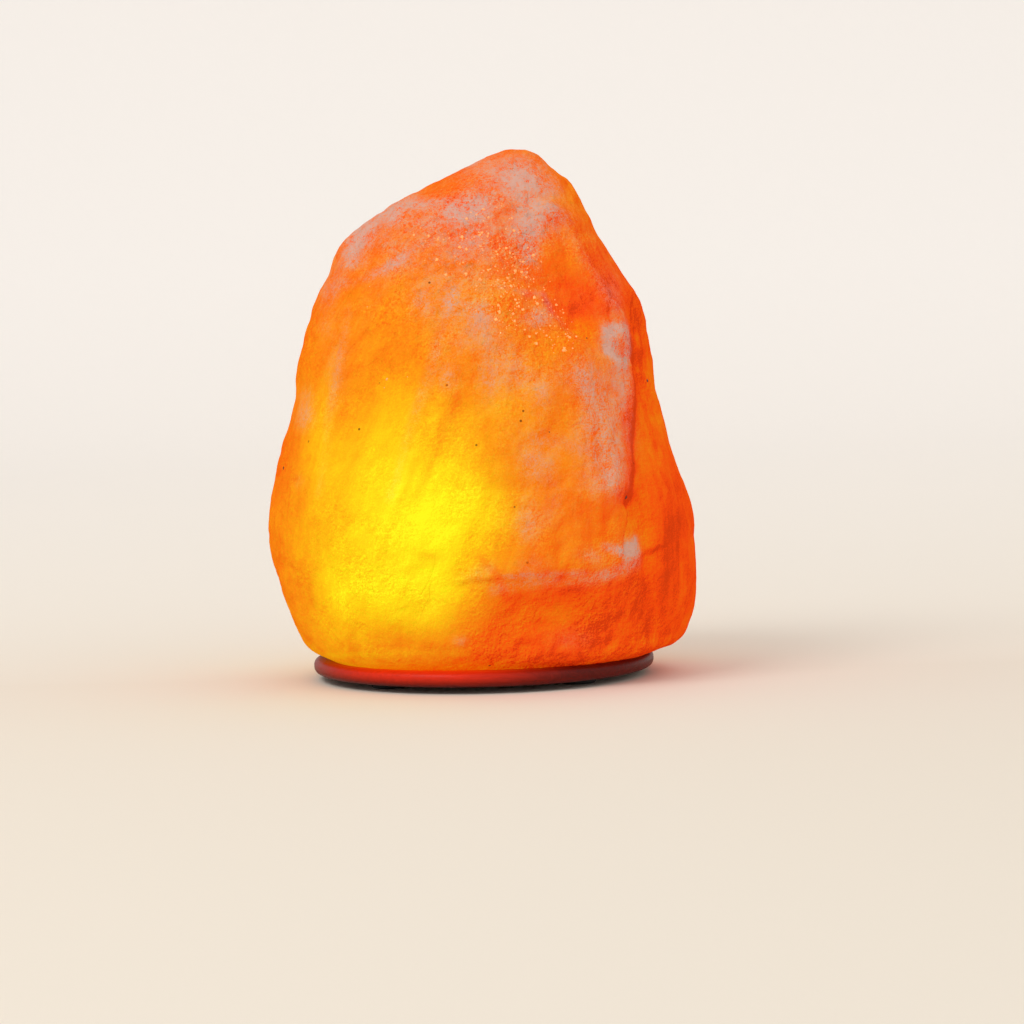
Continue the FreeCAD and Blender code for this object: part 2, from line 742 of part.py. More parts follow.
def rock_normal(angle, share):
    """The outward direction of the smooth outline, from points half a degree to each side."""
    turn, rise = 0.5, 0.004
    around = rock_point(angle + turn, share) - rock_point(angle - turn, share)
    low, high = max(share - rise, 0), min(share + rise, 1)
    return around.cross(rock_point(angle, high) - rock_point(angle, low)).normalize()


def front_view(point):
    """Where an eye in front of the lamp sees a point, in the marks' own mm."""
    scale = MARKED_HEIGHT / salt_height
    x, y = point.x * scale - EYE_AIM[0], point.y * scale
    z = point.z * scale - EYE_AIM[1]
    up = y * sin_deg(EYE_DOWN) + z * cos_deg(EYE_DOWN)
    ahead = y * cos_deg(EYE_DOWN) - z * sin_deg(EYE_DOWN)
    nearer = EYE_DISTANCE / (EYE_DISTANCE + ahead)
    return EYE_AIM[0] + x * nearer, EYE_AIM[1] + up * nearer


def off_line(across, up, corners):
    """How far a place is from a line, and 1 to the left of the line's way or -1 to its right."""
    gap, side = math.inf, 0
    for (x, z), (end_x, end_z) in zip(corners, corners[1:]):
        run_x, run_z = end_x - x, end_z - z
        share = ((across - x) * run_x + (up - z) * run_z) / (run_x**2 + run_z**2)
        share = min(max(share, 0), 1)
        away_x, away_z = across - x - share * run_x, up - z - share * run_z
        if math.hypot(away_x, away_z) < gap:
            gap = math.hypot(away_x, away_z)
            side = math.copysign(1, run_x * away_z - run_z * away_x)
    return gap, side


def front_marks(point):
    """How far the marks on the front lift the surface at a point."""
    across, up = front_view(point)
    height = 0
    for corners, rise, run, edge in ROCK_STEPS:
        gap, side = off_line(across, up, corners)
        height += rise * side * math.tanh(gap / edge) * math.exp(-gap / run)
    for corners, half, rise in ROCK_RIDGES:
        height += rise * bell(off_line(across, up, corners)[0], half)
    for middle, level, half_wide, half_high, tilt, rise in ROCK_LUMPS:
        x, z = across - middle, up - level
        along = x * cos_deg(tilt) + z * sin_deg(tilt)
        aside = z * cos_deg(tilt) - x * sin_deg(tilt)
        height += rise * bell(along, half_wide) * bell(aside, half_high)
    return height


def rock_breaks():
    """The flat breaks, as a point and an outward direction for each."""
    planes = []
    for angle, share, aside, up, depth in ROCK_BREAKS:
        out = rock_normal(angle, share)
        sideways = Vector(-sin_deg(angle), cos_deg(angle), 0)
        way = (out + sideways * aside + Vector(0, 0, up)).normalize()
        planes.append((rock_point(angle, share) - out * depth, way))
    return planes


def rock_surface(angle, share, planes):
    """A point of the rock, with its swells, the marks on its front and its breaks."""
    point, out = rock_point(angle, share), rock_normal(angle, share)
    swells = [
        rise * sin_deg(round_it * angle + 360 * up_it * share + phase)
        for rise, round_it, up_it, phase in ROCK_SWELLS
    ]
    height = sum(swells) * eased((1 - share) / SWELL_FADE)
    # The marks fade out round the corner, from the front to the two sides.
    height += front_marks(point) * eased(0.3 - 2 * sin_deg(angle))
    # The flat underside and the very top stay as they are.
    fade = eased(share / 0.05) * eased((1 - share) / 0.04)
    moved = point + out * height * fade
    for start, way in planes:
        proud = (moved - start).dot(way)
        over = (proud + math.hypot(proud, BREAK_WEAR)) / 2
        moved -= way * over * bell((moved - start).Length, BREAK_REACH) * fade
    return moved


def through(before, here, after):
    """The control point for which a cubic surface runs through the middle one of three points."""
    return here - (before - here * 2 + after) / 6


def rough_rock():
    """The solid rock, before it is drilled: one surface round it, and a flat face at each end."""
    planes = rock_breaks()
    rows = []
    for row in range(ROCK_ROWS):
        share = 1 - (1 - row / (ROCK_ROWS - 1)) ** ROCK_EASE
        points = [
            rock_surface(360 * column / ROCK_COLUMNS, share, planes)
            for column in range(ROCK_COLUMNS)
        ]
        ahead = points[1:] + points[:1]
        rows.append([through(*three) for three in zip(points[-1:] + points[:-1], points, ahead)])
    inner = [[through(*three) for three in zip(*rows[i - 1 : i + 2])] for i in range(1, ROCK_ROWS - 1)]
    poles = [list(column) for column in zip(rows[0], *inner, rows[-1])]
    surface = Part.BSplineSurface()
    knots_round, knots_up = range(ROCK_COLUMNS + 1), range(ROCK_ROWS - 2)
    ends = [4] + [1] * (ROCK_ROWS - 4) + [4]
    surface.buildFromPolesMultsKnots(
        poles, [1] * len(knots_round), ends, list(knots_round), list(knots_up), True, False, 3, 3
    )
    side = surface.toShape()
    rims = [edge for edge in side.Edges if not edge.isSeam(side)]
    shell = Part.makeShell([side] + [Part.Face(Part.Wire([rim])) for rim in rims])
    shell.sewShape()
    return Part.makeSolid(shell)


def make_salt_crystal():
    """The rock, less the drilled hole and the screws' holes."""
    rock = free_form("rough_rock", rough_rock())
    hole = rod("bulb_hole", size("bore_radius"), size("bore_deep"), z=seat)
    cone = primitive(
        "Part::Cone",
        "drill_tip",
        Radius1=size("bore_radius"),
        Radius2=size("bore_flat"),
        Height=size("bore_tip"),
    )
    place(cone, z=seat + size("bore_deep"))
    point_low = size("foot_thick") + shank_length + size("screw_gap") * 3
    tools = [hole, cone]
    for number, angle in enumerate(SCREW_ANGLES, start=1):
        pilot = rod(f"pilot_hole_{number}", screw_hole, point_low - seat)
        place_round(pilot, size("screw_ring"), angle, seat)
        tip = primitive(
            "Part::Cone",
            f"pilot_tip_{number}",
            Radius1=screw_hole,
            Radius2=size("screw_gap"),
            Height=size("screw_point"),
        )
        place_round(tip, size("screw_ring"), angle, point_low)
        tools += [pilot, tip]
    cut_from("salt_crystal", rock, joined("drilling", tools))


def make_holder_cap():
    """The lampholder's rear cap, with the hole for the lead and finger flutes."""
    cap = new_body("holder_cap")
    outside = size("cap_radius")
    inside = outside - size("cap_wall")
    floor = cap_bottom + size("cap_floor")
    inlet = size("inlet_radius")
    corners = [
        (inlet, cap_bottom),
        (outside, cap_bottom),
        (outside, cap_top),
        (inside, cap_top),
        (inside, floor),
        (inlet, floor),
    ]
    cup = turned(cap, "cup", corners)
    low_edge = ring_edges(cup.Shape, (outside, cap_bottom))
    rounding = smaller(size("cap_round"), size("cap_floor") * ROUND_SHARE * 2)
    dressed(cap, "PartDesign::Fillet", cup, low_edge, "round", rounding)
    flute = new_sketch(cap, "flute", "XY_Plane", cap_bottom)
    draw_circle(flute, outside + size("flute_out"), ZERO, size("flute_radius"))
    rise = size("cap_height") - size("flange_thick")
    cut = pushed(cap, "PartDesign::Pocket", flute, rise, reverse=True)
    round_pattern(cap, cut, FLUTES)


def make_holder_skirt():
    """The sleeve round the bulb's cap, with a spigot in the rear cap, a flange and a ledge."""
    skirt = new_body("holder_skirt")
    spigot = size("cap_radius") - size("cap_wall") - size("fit_gap")
    ledge, outside = size("ledge_radius"), size("skirt_radius")
    corners = [
        (ledge, spigot_low),
        (spigot, spigot_low),
        (spigot, cap_top),
        (size("cap_radius"), cap_top),
        (size("cap_radius"), flange_top),
        (outside, flange_top),
        (outside, skirt_top),
        (skirt_inside, skirt_top),
        (skirt_inside, cap_top),
        (ledge, cap_top),
    ]
    sleeve = turned(skirt, "sleeve", corners)
    mouth = ring_edges(sleeve.Shape, (outside, skirt_top), (skirt_inside, skirt_top))
    rounding = smaller(size("mouth_round"), size("skirt_wall") * ROUND_SHARE)
    dressed(skirt, "PartDesign::Fillet", sleeve, mouth, "mouth", rounding)


def make_holder_core():
    """The ceramic disc that carries the contacts."""
    core = new_body("holder_core")
    outside = skirt_inside - size("fit_gap")
    bore = size("plunger_bore")
    corners = [(bore, cap_top), (outside, cap_top), (outside, core_top), (bore, core_top)]
    turned(core, "disc_of_ceramic", corners)
    through = new_sketch(core, "stud_hole", "XY_Plane", cap_top)
    radius = size("stud_radius") + size("fit_gap")
    draw_circle(through, -size("stud_ring"), ZERO, radius)
    cut = pushed(core, "PartDesign::Pocket", through, size("core_thick"), reverse=True)
    round_pattern(core, cut, len(STUD_ANGLES))
    peg = new_sketch(core, "peg_hole", "XY_Plane", cap_top)
    middle = size("block_near") + size("block_long") / 2
    draw_circle(peg, middle, ZERO, size("peg_radius") + size("fit_gap"))
    depth = size("peg_length") + size("fit_gap")
    pushed(core, "PartDesign::Pocket", peg, depth, reverse=True)


def make_screw_shell():
    """The brass shell that the bulb screws into."""
    shell = new_body("screw_shell")
    inside, mouth = size("shell_inside"), size("shell_mouth")
    top, sheet_top = core_top + size("shell_height"), core_top + size("shell_sheet")
    corners = [
        (mouth, core_top),
        (shell_outside, core_top),
        (shell_outside, top),
        (inside, top),
        (inside, sheet_top),
        (mouth, sheet_top),
    ]
    turned(shell, "brass_cup", corners)
    through = new_sketch(shell, "shell_stud_hole", "XY_Plane", core_top)
    radius = size("stud_radius") + size("fit_gap")
    draw_circle(through, -size("stud_ring"), ZERO, radius)
    cut = pushed(shell, "PartDesign::Pocket", through, size("shell_sheet"), reverse=True)
    round_pattern(shell, cut, len(STUD_ANGLES))


def slotted_screw(name, shank, head, head_thick, length, slot):
    """A screw with a slotted cylinder head, its head from z = 0 down and its shank up."""
    screw = new_body(name)
    corners = [
        (ZERO, -head_thick),
        (head, -head_thick),
        (head, ZERO),
        (shank, ZERO),
        (shank, length),
        (ZERO, length),
    ]
    turned(screw, name + "_turned", corners)
    cut = new_sketch(screw, name + "_slot", "XY_Plane", -head_thick)
    draw_rectangle(cut, -head, -slot / 2, head, slot / 2)
    pushed(screw, "PartDesign::Pocket", cut, head_thick / 2, reverse=True)
    return screw


def make_shell_screws():
    """Three small screws through the shell and the core. One reaches the neutral block."""
    down = size("shell_sheet") + size("core_thick") + size("stud_reach")
    screws = []
    for number, angle in enumerate(STUD_ANGLES, start=1):
        name = f"shell_screw_{number}"
        head, head_thick = size("stud_head"), size("stud_head_thick")
        slot = size("stud_slot")
        screw = slotted_screw(name, size("stud_radius"), head, head_thick, down, slot)
        ring = size("stud_ring")
        level = core_top + size("shell_sheet")
        place(screw, *round_spot(ring, angle), level, (Vector(1, 0, 0), 180))
        screws.append(screw)
    group("shell_screws", screws)


def terminal_block(name):
    """A brass block on the +X side, under the core, with its wire hole and screw hole."""
    near, long, wide = size("block_near"), size("block_long"), size("block_wide")
    block = box(name + "_block", long, wide, size("block_high"), (near, -wide / 2, block_low))
    middle = near + long / 2
    level = block_low + size("wire_level")
    turn = (Vector(1, 0, 0), 90)
    through = wide * PAST
    wire = rod(name + "_wire_hole", size("wire_hole"), through, middle, through / 2, level, turn)
    tapped = size("clamp_radius") + size("fit_gap")
    deep = size("clamp_length") + size("fit_gap")
    screw = rod(name + "_tapped_hole", tapped, deep, middle, ZERO, block_low)
    return block, [wire, screw]


def make_live_terminal():
    """The live block, its strap under the centre contact and its peg in the core."""
    block, holes = terminal_block("live")
    long = size("strap_end") + size("block_near") + size("block_long") / 2
    wide, thick = size("strap_wide"), size("strap_thick")
    corner = (-size("strap_end"), -wide / 2, cap_top - thick)
    strap = box("live_strap", long, wide, thick, corner)
    middle = size("block_near") + size("block_long") / 2
    peg = rod("live_peg", size("peg_radius"), size("peg_length") + thick, middle, ZERO, cap_top - thick)
    stem = rod("stem_hole", size("strap_hole"), thick * 3, z=cap_top - thick * 2)
    whole = joined("live_whole", [block, strap, peg])
    cut_from("live_terminal", whole, joined("live_holes", [*holes, stem]))


def make_neutral_terminal():
    """The neutral block, opposite, tapped for the screw that comes down from the shell."""
    block, holes = terminal_block("neutral")
    radius = size("stud_radius") + size("fit_gap")
    deep = size("stud_reach") + size("fit_gap")
    tapped = rod("stud_tapped_hole", radius, deep, size("stud_ring"), ZERO, cap_top - deep)
    made = cut_from("neutral_terminal", block, joined("neutral_holes", [*holes, tapped]))
    made.Placement = FreeCAD.Placement(Vector(), FreeCAD.Rotation(Vector(0, 0, 1), 180))


def make_terminal_screws():
    """The two screws that clamp the wires, from below."""
    middle = size("block_near") + size("block_long") / 2
    screws = []
    for number, side in enumerate((1, -1), start=1):
        name = f"clamp_screw_{number}"
        head, thick = size("clamp_head"), size("clamp_head_thick")
        length, slot = size("clamp_length"), size("slot_wide")
        screw = slotted_screw(name, size("clamp_radius"), head, thick, length, slot)
        place(screw, middle * side, ZERO, block_low)
        screws.append(screw)
    group("terminal_screws", screws)


def make_centre_contact():
    """The sprung plunger that touches the bulb: head, stem and riveted end."""
    contact = new_body("centre_contact")
    stem, end = size("plunger_stem"), size("retainer_radius")
    gap = size("fit_gap")
    end_high = cap_top - size("strap_thick") - size("plunger_lift") - gap
    end_low = end_high - size("retainer_thick")
    corners = [
        (ZERO, end_low),
        (end, end_low),
        (end, end_high),
        (stem, end_high),
        (stem, plunger_base),
        (size("plunger_head"), plunger_base),
        (size("plunger_head"), plunger_top),
        (ZERO, plunger_top),
    ]
    turned(contact, "plunger", corners)


def wire_along(path, radius):
    """A round wire along a path."""
    start = path.Edges[0]
    point = start.valueAt(start.FirstParameter)
    ahead = start.tangentAt(start.FirstParameter)
    ring = Part.Wire([Part.makeCircle(radius, point, ahead)])
    return path.makePipeShell([ring], True, True)


def coil(radius, wire, pitch, turns):
    """A coil of wire about Z, whose own middle line starts at z = 0."""
    path = Part.Wire(Part.makeHelix(pitch, pitch * turns, radius).Edges)
    return wire_along(path, wire)


def make_contact_spring():
    """The coil spring between the live strap and the centre contact's head."""
    wire, gap = size("coil_wire").value, size("pin_gap").value
    room = plunger_base.value - cap_top.value - 2 * (wire + gap)
    shape = coil(size("coil_radius").value, wire, room / COIL_TURNS, COIL_TURNS)
    shape.translate(Vector(0, 0, cap_top.value + wire + gap))
    free_form("contact_spring", shape)


def make_lock_ring():
    """The ring that screws down on the sleeve and holds the collar."""
    ring = new_body("lock_ring")
    inside = size("skirt_radius") + size("fit_gap")
    outside = inside + size("lock_ring_wide")
    top = collar_top + size("lock_ring_high")
    corners = [(inside, collar_top), (outside, collar_top), (outside, top), (inside, top)]
    turned(ring, "threaded_ring", corners)
    notch = new_sketch(ring, "notch", "XY_Plane", collar_top)
    draw_circle(notch, outside + size("notch_out"), ZERO, size("notch_radius"))
    cut = pushed(ring, "PartDesign::Pocket", notch, size("lock_ring_high"), reverse=True)
    round_pattern(ring, cut, FLUTES * 2)


def make_clip_collar():
    """The steel collar: a flat ring with two tongues, each with two ears for a pin."""
    thick, ear = size("collar_thick"), size("ear_thick")
    inside = size("skirt_radius") + size("fit_gap")
    half = size("ear_inside") + ear
    reach = pin_reach + size("ear_radius")
    ring = rod("collar_ring", inside + size("collar_width"), thick, z=flange_top)
    tongue = box("collar_tongue", reach * 2, half * 2, thick, (-reach, -half, flange_top))
    pieces = [ring, tongue]
    holes = [rod("collar_hole", inside, thick * 3, z=flange_top - thick)]
    across = (Vector(1, 0, 0), 90)
    rise = pin_level - flange_top
    inner = size("pin_radius") + size("pin_gap")
    wide = size("ear_radius") + inner
    for side in (1, -1):
        pin_x = pin_reach * side
        for face in (1, -1):
            low = size("ear_inside") if face == 1 else -half
            name = f"ear_{'right' if side == 1 else 'left'}_{'back' if face == 1 else 'front'}"
            start = pin_x - inner if side == 1 else pin_x - size("ear_radius")
            corner = (start, low, flange_top)
            pieces.append(box(name + "_plate", wide, ear, rise, corner))
            eye = rod(name + "_eye", size("ear_radius"), ear, pin_x, low + ear, pin_level, across)
            pieces.append(eye)
        name = f"ear_hole_{'right' if side == 1 else 'left'}"
        through = half * 2 * PAST
        holes.append(rod(name, inner, through, pin_x, through / 2, pin_level, across))
    cut_from("clip_collar", joined("collar_whole", pieces), joined("collar_holes", holes))


def make_clip_pins():
    """The two pins that the clips turn on, each headed at both ends."""
    half = size("ear_inside") + size("ear_thick")
    across = (Vector(1, 0, 0), 90)
    pins = []
    for side in (1, -1):
        name = "pin_right" if side == 1 else "pin_left"
        x = pin_reach * side
        head, thick = size("pin_head"), size("pin_head_thick")
        gap = size("pin_gap")
        reach = half + gap
        shank = rod(name + "_shank", size("pin_radius"), reach * 2, x, reach, pin_level, across)
        front = rod(name + "_front", head, thick, x, -reach, pin_level, across)
        back = rod(name + "_back", head, thick, x, reach + thick, pin_level, across)
        pins.append(joined(name, [shank, front, back]))
    group("clip_pins", pins)


def make_clip(label, side):
    """A leaf clip: a roll round its pin, a leg out to a knee, and a tip turned in."""
    clip = new_body(label)
    sheet_thick, roll = size("clip_sheet"), size("knuckle_radius")
    tip_x = clip_edge - size("clip_tip_turn")
    tip_z = knee + size("clip_tip_rise")
    leaf = new_sketch(clip, label + "_leaf")
    corners = [
        (pin_reach + roll - sheet_thick, pin_level),
        (pin_reach + roll, pin_level),
        (clip_edge, knee),
        (tip_x, tip_z),
        (tip_x - sheet_thick, tip_z),
        (clip_edge - sheet_thick, knee),
    ]
    if side < 0:
        corners = [(-across, up) for across, up in corners]
    draw_outline(leaf, corners)
    pushed(clip, "PartDesign::Pad", leaf, size("clip_wide"), both_ways=True)
    knuckle = new_sketch(clip, label + "_knuckle")
    draw_circle(knuckle, pin_reach * side, pin_level, roll)
    pushed(clip, "PartDesign::Pad", knuckle, size("clip_wide"), both_ways=True)
    eye = new_sketch(clip, label + "_eye")
    draw_circle(eye, pin_reach * side, pin_level, size("pin_radius") + size("pin_gap"))
    pushed(clip, "PartDesign::Pocket", eye, size("clip_wide") * PAST, both_ways=True)


def make_twist_spring(label, side):
    """Two small coils on a clip's pin, one at each end of the clip's roll."""
    turns, pitch = TWIST_TURNS, size("twist_pitch").value
    wire = size("twist_wire").value
    start = size("clip_wide").value / 2 + wire + size("fit_gap").value
    coils = []
    for face in (1, -1):
        one = coil(size("twist_radius").value, wire, pitch, turns)
        one.rotate(Vector(), Vector(1, 0, 0), -90 * face)
        one.translate(Vector(pin_reach.value * side, start * face, pin_level.value))
        coils.append(one)
    free_form(label, Part.makeCompound(coils))


def make_bulb_cap():
    """The bulb's metal cap: thin, with a rolled thread and a plain skirt."""
    cap = new_body("bulb_cap")
    pitch = size("thread_pitch")
    crest, root, inside = size("cap_thread"), size("cap_root"), size("cap_inside")
    corners = [(inside, cap_low), (root, cap_low)]
    for turn in range(CAP_THREADS):
        low = thread_low + pitch * turn
        corners.append((root, low))
        corners.append((crest, low + pitch * THREAD_FLANK))
        corners.append((crest, low + pitch * (1 - THREAD_FLANK)))
    corners.append((root, thread_low + pitch * CAP_THREADS))
    corners.append((root, cap_high))
    corners.append((inside, cap_high))
    turned(cap, "rolled_cap", corners)


def make_cap_insulator():
    """The black glass cone between the cap and the contact."""
    insulator = new_body("cap_insulator")
    low = plunger_top + size("tip_thick")
    top = cap_low + size("thread_pitch") / 2
    outside = size("cap_inside") - size("fit_gap")
    corners = [
        (ZERO, low),
        (size("tip_radius") + size("tip_thick") / 2, low),
        (size("cap_root"), cap_low),
        (outside, cap_low),
        (outside, top),
        (ZERO, top),
    ]
    turned(insulator, "black_glass", corners)


def make_tip_contact():
    """The soldered contact at the bulb's end."""
    tip = new_body("tip_contact")
    top, low = plunger_top + size("tip_thick"), plunger_top
    edge = size("tip_thick") / 2
    corners = [
        (ZERO, low),
        (size("tip_radius") - edge, low),
        (size("tip_radius"), low + edge),
        (size("tip_radius"), top),
        (ZERO, top),
    ]
    turned(tip, "solder_disc", corners)


def make_bulb_glass():
    """The pear-shaped glass, an even wall open at the neck."""
    glass = new_body("bulb_glass")
    neck, wide = size("neck_radius"), size("glass_radius")
    corners = [
        (ZERO, neck_low),
        (neck, neck_low),
        (neck, flare_low),
        (wide, flare_high),
        (wide, glass_top),
        (ZERO, glass_top),
    ]
    pear = turned(glass, "pear", corners)
    dome = ring_edges(pear.Shape, (wide, glass_top))
    pear = dressed(glass, "PartDesign::Fillet", pear, dome, "dome", wide * DOME_SHARE)
    belly = ring_edges(pear.Shape, (wide, flare_high), (neck, flare_low))
    pear = dressed(glass, "PartDesign::Fillet", pear, belly, "belly", wide * BELLY_SHARE)
    bottom = min(range(len(pear.Shape.Faces)), key=lambda i: pear.Shape.Faces[i].CenterOfMass.z)
    hollow = glass.newObject("PartDesign::Thickness", "hollow")
    hollow.Base = (pear, [f"Face{bottom + 1}"])
    bind(hollow, "Value", size("glass_wall"))
    hollow.Reversed = True
    hollow.Mode = 0
    hollow.Join = 0
    glass.Tip = hollow
    doc.recompute()


def make_bulb_stem():
    """The glass stem that closes the neck and carries the wires."""
    stem = new_body("bulb_stem")
    flare = size("neck_radius") - size("glass_wall") - size("fit_gap")
    outside, bore = size("stem_radius"), size("stem_bore")
    wall, sealed = size("glass_wall"), size("stem_sealed")
    corners = [
        (bore, neck_low),
        (flare, neck_low),
        (flare, neck_low + wall),
        (outside, neck_low + sealed),
        (outside, stem_top - wall),
        (outside - wall, stem_top),
        (ZERO, stem_top),
        (ZERO, stem_top - sealed),
        (bore, stem_top - sealed),
    ]
    turned(stem, "flare_and_tube", corners)


def make_lead_wires():
    """The two wires from the stem up to the filament's ends, and its middle support."""
    thick, near, far = size("lead_radius").value, size("lead_apart").value, size("lead_spread").value
    low, high = stem_top.value, lead_top.value
    wires = []
    for side in (1, -1):
        points = (
            Vector(near * side, 0, low),
            Vector(near * side, 0, low + size("lead_straight").value),
            Vector(far * side, 0, high - size("lead_straight").value),
            Vector(far * side, 0, high),
        )
        wires.append(wire_along(rounded_path(points), thick))
    top = high + size("filament_arch").value - size("wire_gap").value
    top -= size("filament_radius").value
    wires.append(Part.makeCylinder(size("support_radius").value, top - low, Vector(0, 0, low)))
    free_form("lead_wires", Part.makeCompound(wires))


def rounded_path(points):
    """Straight runs joined by arcs that touch both runs at each corner."""
    edges = []
    start = points[0]
    for before, corner, after in zip(points, points[1:], points[2:]):
        back = before - corner
        ahead = after - corner
        reach = BEND_SHARE * min(back.Length, ahead.Length)
        back.normalize()
        ahead.normalize()
        first, last = corner + back * reach, corner + ahead * reach
        bisector = (back + ahead).normalize()
        half = math.acos(max(-1, min(1, back.dot(ahead)))) / 2
        radius = reach * math.tan(half)
        middle = corner + bisector * (reach / math.cos(half) - radius)
        edges.append(Part.LineSegment(start, first).toShape())
        edges.append(Part.Arc(first, middle, last).toShape())
        start = last
    edges.append(Part.LineSegment(start, points[-1]).toShape())
    return Part.Wire(edges)


def make_filament():
    """The filament, an arch between the lead wires."""
    level = lead_top.value + size("wire_gap").value + size("filament_radius").value
    far = size("lead_spread").value
    top = lead_top.value + size("filament_arch").value
    arch = Part.Arc(Vector(far, 0, level), Vector(0, 0, top), Vector(-far, 0, level))
    free_form("filament", wire_along(Part.Wire([arch.toShape()]), size("filament_radius").value))


def build():
    """Makes every piece."""
    make_rubber_feet()
    make_wooden_base()
    make_base_screws()
    make_salt_crystal()
    make_holder_cap()
    make_holder_skirt()
    make_holder_core()
    make_screw_shell()
    make_shell_screws()
    make_live_terminal()
    make_neutral_terminal()
    make_terminal_screws()
    make_centre_contact()
    make_contact_spring()
    make_lock_ring()
    make_clip_collar()
    make_clip_pins()
    make_clip("clip_right", 1)
    make_clip("clip_left", -1)
    make_twist_spring("clip_spring_right", 1)
    make_twist_spring("clip_spring_left", -1)
    make_bulb_cap()
    make_cap_insulator()
    make_tip_contact()
    make_bulb_glass()
    make_bulb_stem()
    make_lead_wires()
    make_filament()
    doc.recompute()


NODES = (
    "salt_crystal wooden_base base_screws rubber_feet holder_cap holder_skirt holder_core "
    "screw_shell shell_screws live_terminal neutral_terminal terminal_screws contact_spring "
    "lock_ring clip_collar clip_pins clip_spring_right clip_spring_left clip_right clip_left "
    "centre_contact bulb_cap cap_insulator tip_contact bulb_glass bulb_stem lead_wires filament"
).split()


def export():
    """Checks every object, then writes each sub-part to its own file."""
    for thing in doc.Objects:
        if "Invalid" in thing.State or "Error" in thing.State:
            raise RuntimeError(f"{thing.Label} failed: {thing.State}")
    os.makedirs("parts", exist_ok=True)
    for label in NODES:
        thing = doc.getObjectsByLabel(label)[0]
        shape = thing.Shape
        if shape.isNull() or not shape.isValid() or not shape.Solids:
            raise RuntimeError(f"{label} has no sound shape")
        low, high = shape.BoundBox.ZMin, shape.BoundBox.ZMax
        volume = shape.Volume / 1000
        print(f"{label}: {len(shape.Solids)} solids, {volume:.3f} ml, z {low:.2f} to {high:.2f}")
        shape.exportStep(f"parts/{label}.step")


build()
export()
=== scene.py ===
"""Looks of the salt crystal lamp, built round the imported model.

The rock, its grains, the springs, the filament, the bulb's cap and the shell it screws into are
made here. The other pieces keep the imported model's shape and get a finish. Lengths are millimetres
until a mesh is written, in metres. The front is -Y and up is +Z. All random draws have fixed seeds.
"""

import itertools
import logging
import math
from dataclasses import dataclass
from enum import Enum
from typing import Dict, List, Optional, Sequence, Tuple, Union

import bpy
import numpy as np
from mathutils import Matrix, Vector


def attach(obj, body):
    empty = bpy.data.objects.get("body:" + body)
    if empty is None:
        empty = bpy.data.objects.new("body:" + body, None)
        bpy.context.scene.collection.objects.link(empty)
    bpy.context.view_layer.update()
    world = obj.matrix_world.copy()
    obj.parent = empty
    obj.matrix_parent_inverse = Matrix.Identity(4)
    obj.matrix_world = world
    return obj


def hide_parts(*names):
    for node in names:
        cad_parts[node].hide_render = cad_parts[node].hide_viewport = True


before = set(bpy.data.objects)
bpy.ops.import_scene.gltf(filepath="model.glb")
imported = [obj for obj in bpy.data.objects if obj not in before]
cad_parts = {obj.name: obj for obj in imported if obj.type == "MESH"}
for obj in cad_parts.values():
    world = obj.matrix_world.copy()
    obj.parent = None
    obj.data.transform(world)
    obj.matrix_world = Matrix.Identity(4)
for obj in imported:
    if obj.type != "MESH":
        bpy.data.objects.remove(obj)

logging.basicConfig(level=logging.INFO, format="%(message)s")
log = logging.getLogger("salt_lamp")

MM = 0.001
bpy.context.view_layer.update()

Triple = Tuple[float, float, float]
Color = Triple
Spot = Tuple[float, float]
Socket = bpy.types.NodeSocket
Value = Union[float, Tuple[float, ...], bpy.types.NodeSocket]


# ---- Small tools ----


def linear(*channels: float) -> Color:
    """Turns a colour as a screen shows it into scene light.

    Args:
        channels: red, green and blue, from 0 to 255.

    Returns:
        The three linear channels.
    """
    shares = [channel / 255 for channel in channels]
    return tuple(s / 12.92 if s <= 0.04045 else ((s + 0.055) / 1.055) ** 2.4 for s in shares)


def shade(color: Color, share: float) -> Color:
    """A colour times a number."""
    return tuple(channel * share for channel in color)


def smooth_step(low: float, high: float, value: np.ndarray) -> np.ndarray:
    """Rises from 0 at low to 1 at high, level at both ends.

    Args:
        low, high: where the rise starts and ends.
        value: the numbers to map.

    Returns:
        An array like value.
    """
    share = np.clip((value - low) / (high - low), 0, 1)
    return share * share * (3 - 2 * share)


def bell(value: np.ndarray, width: float) -> np.ndarray:
    """A bump of height 1 at 0, which has fallen to about a third at the width."""
    return np.exp(-((value / width) ** 2))


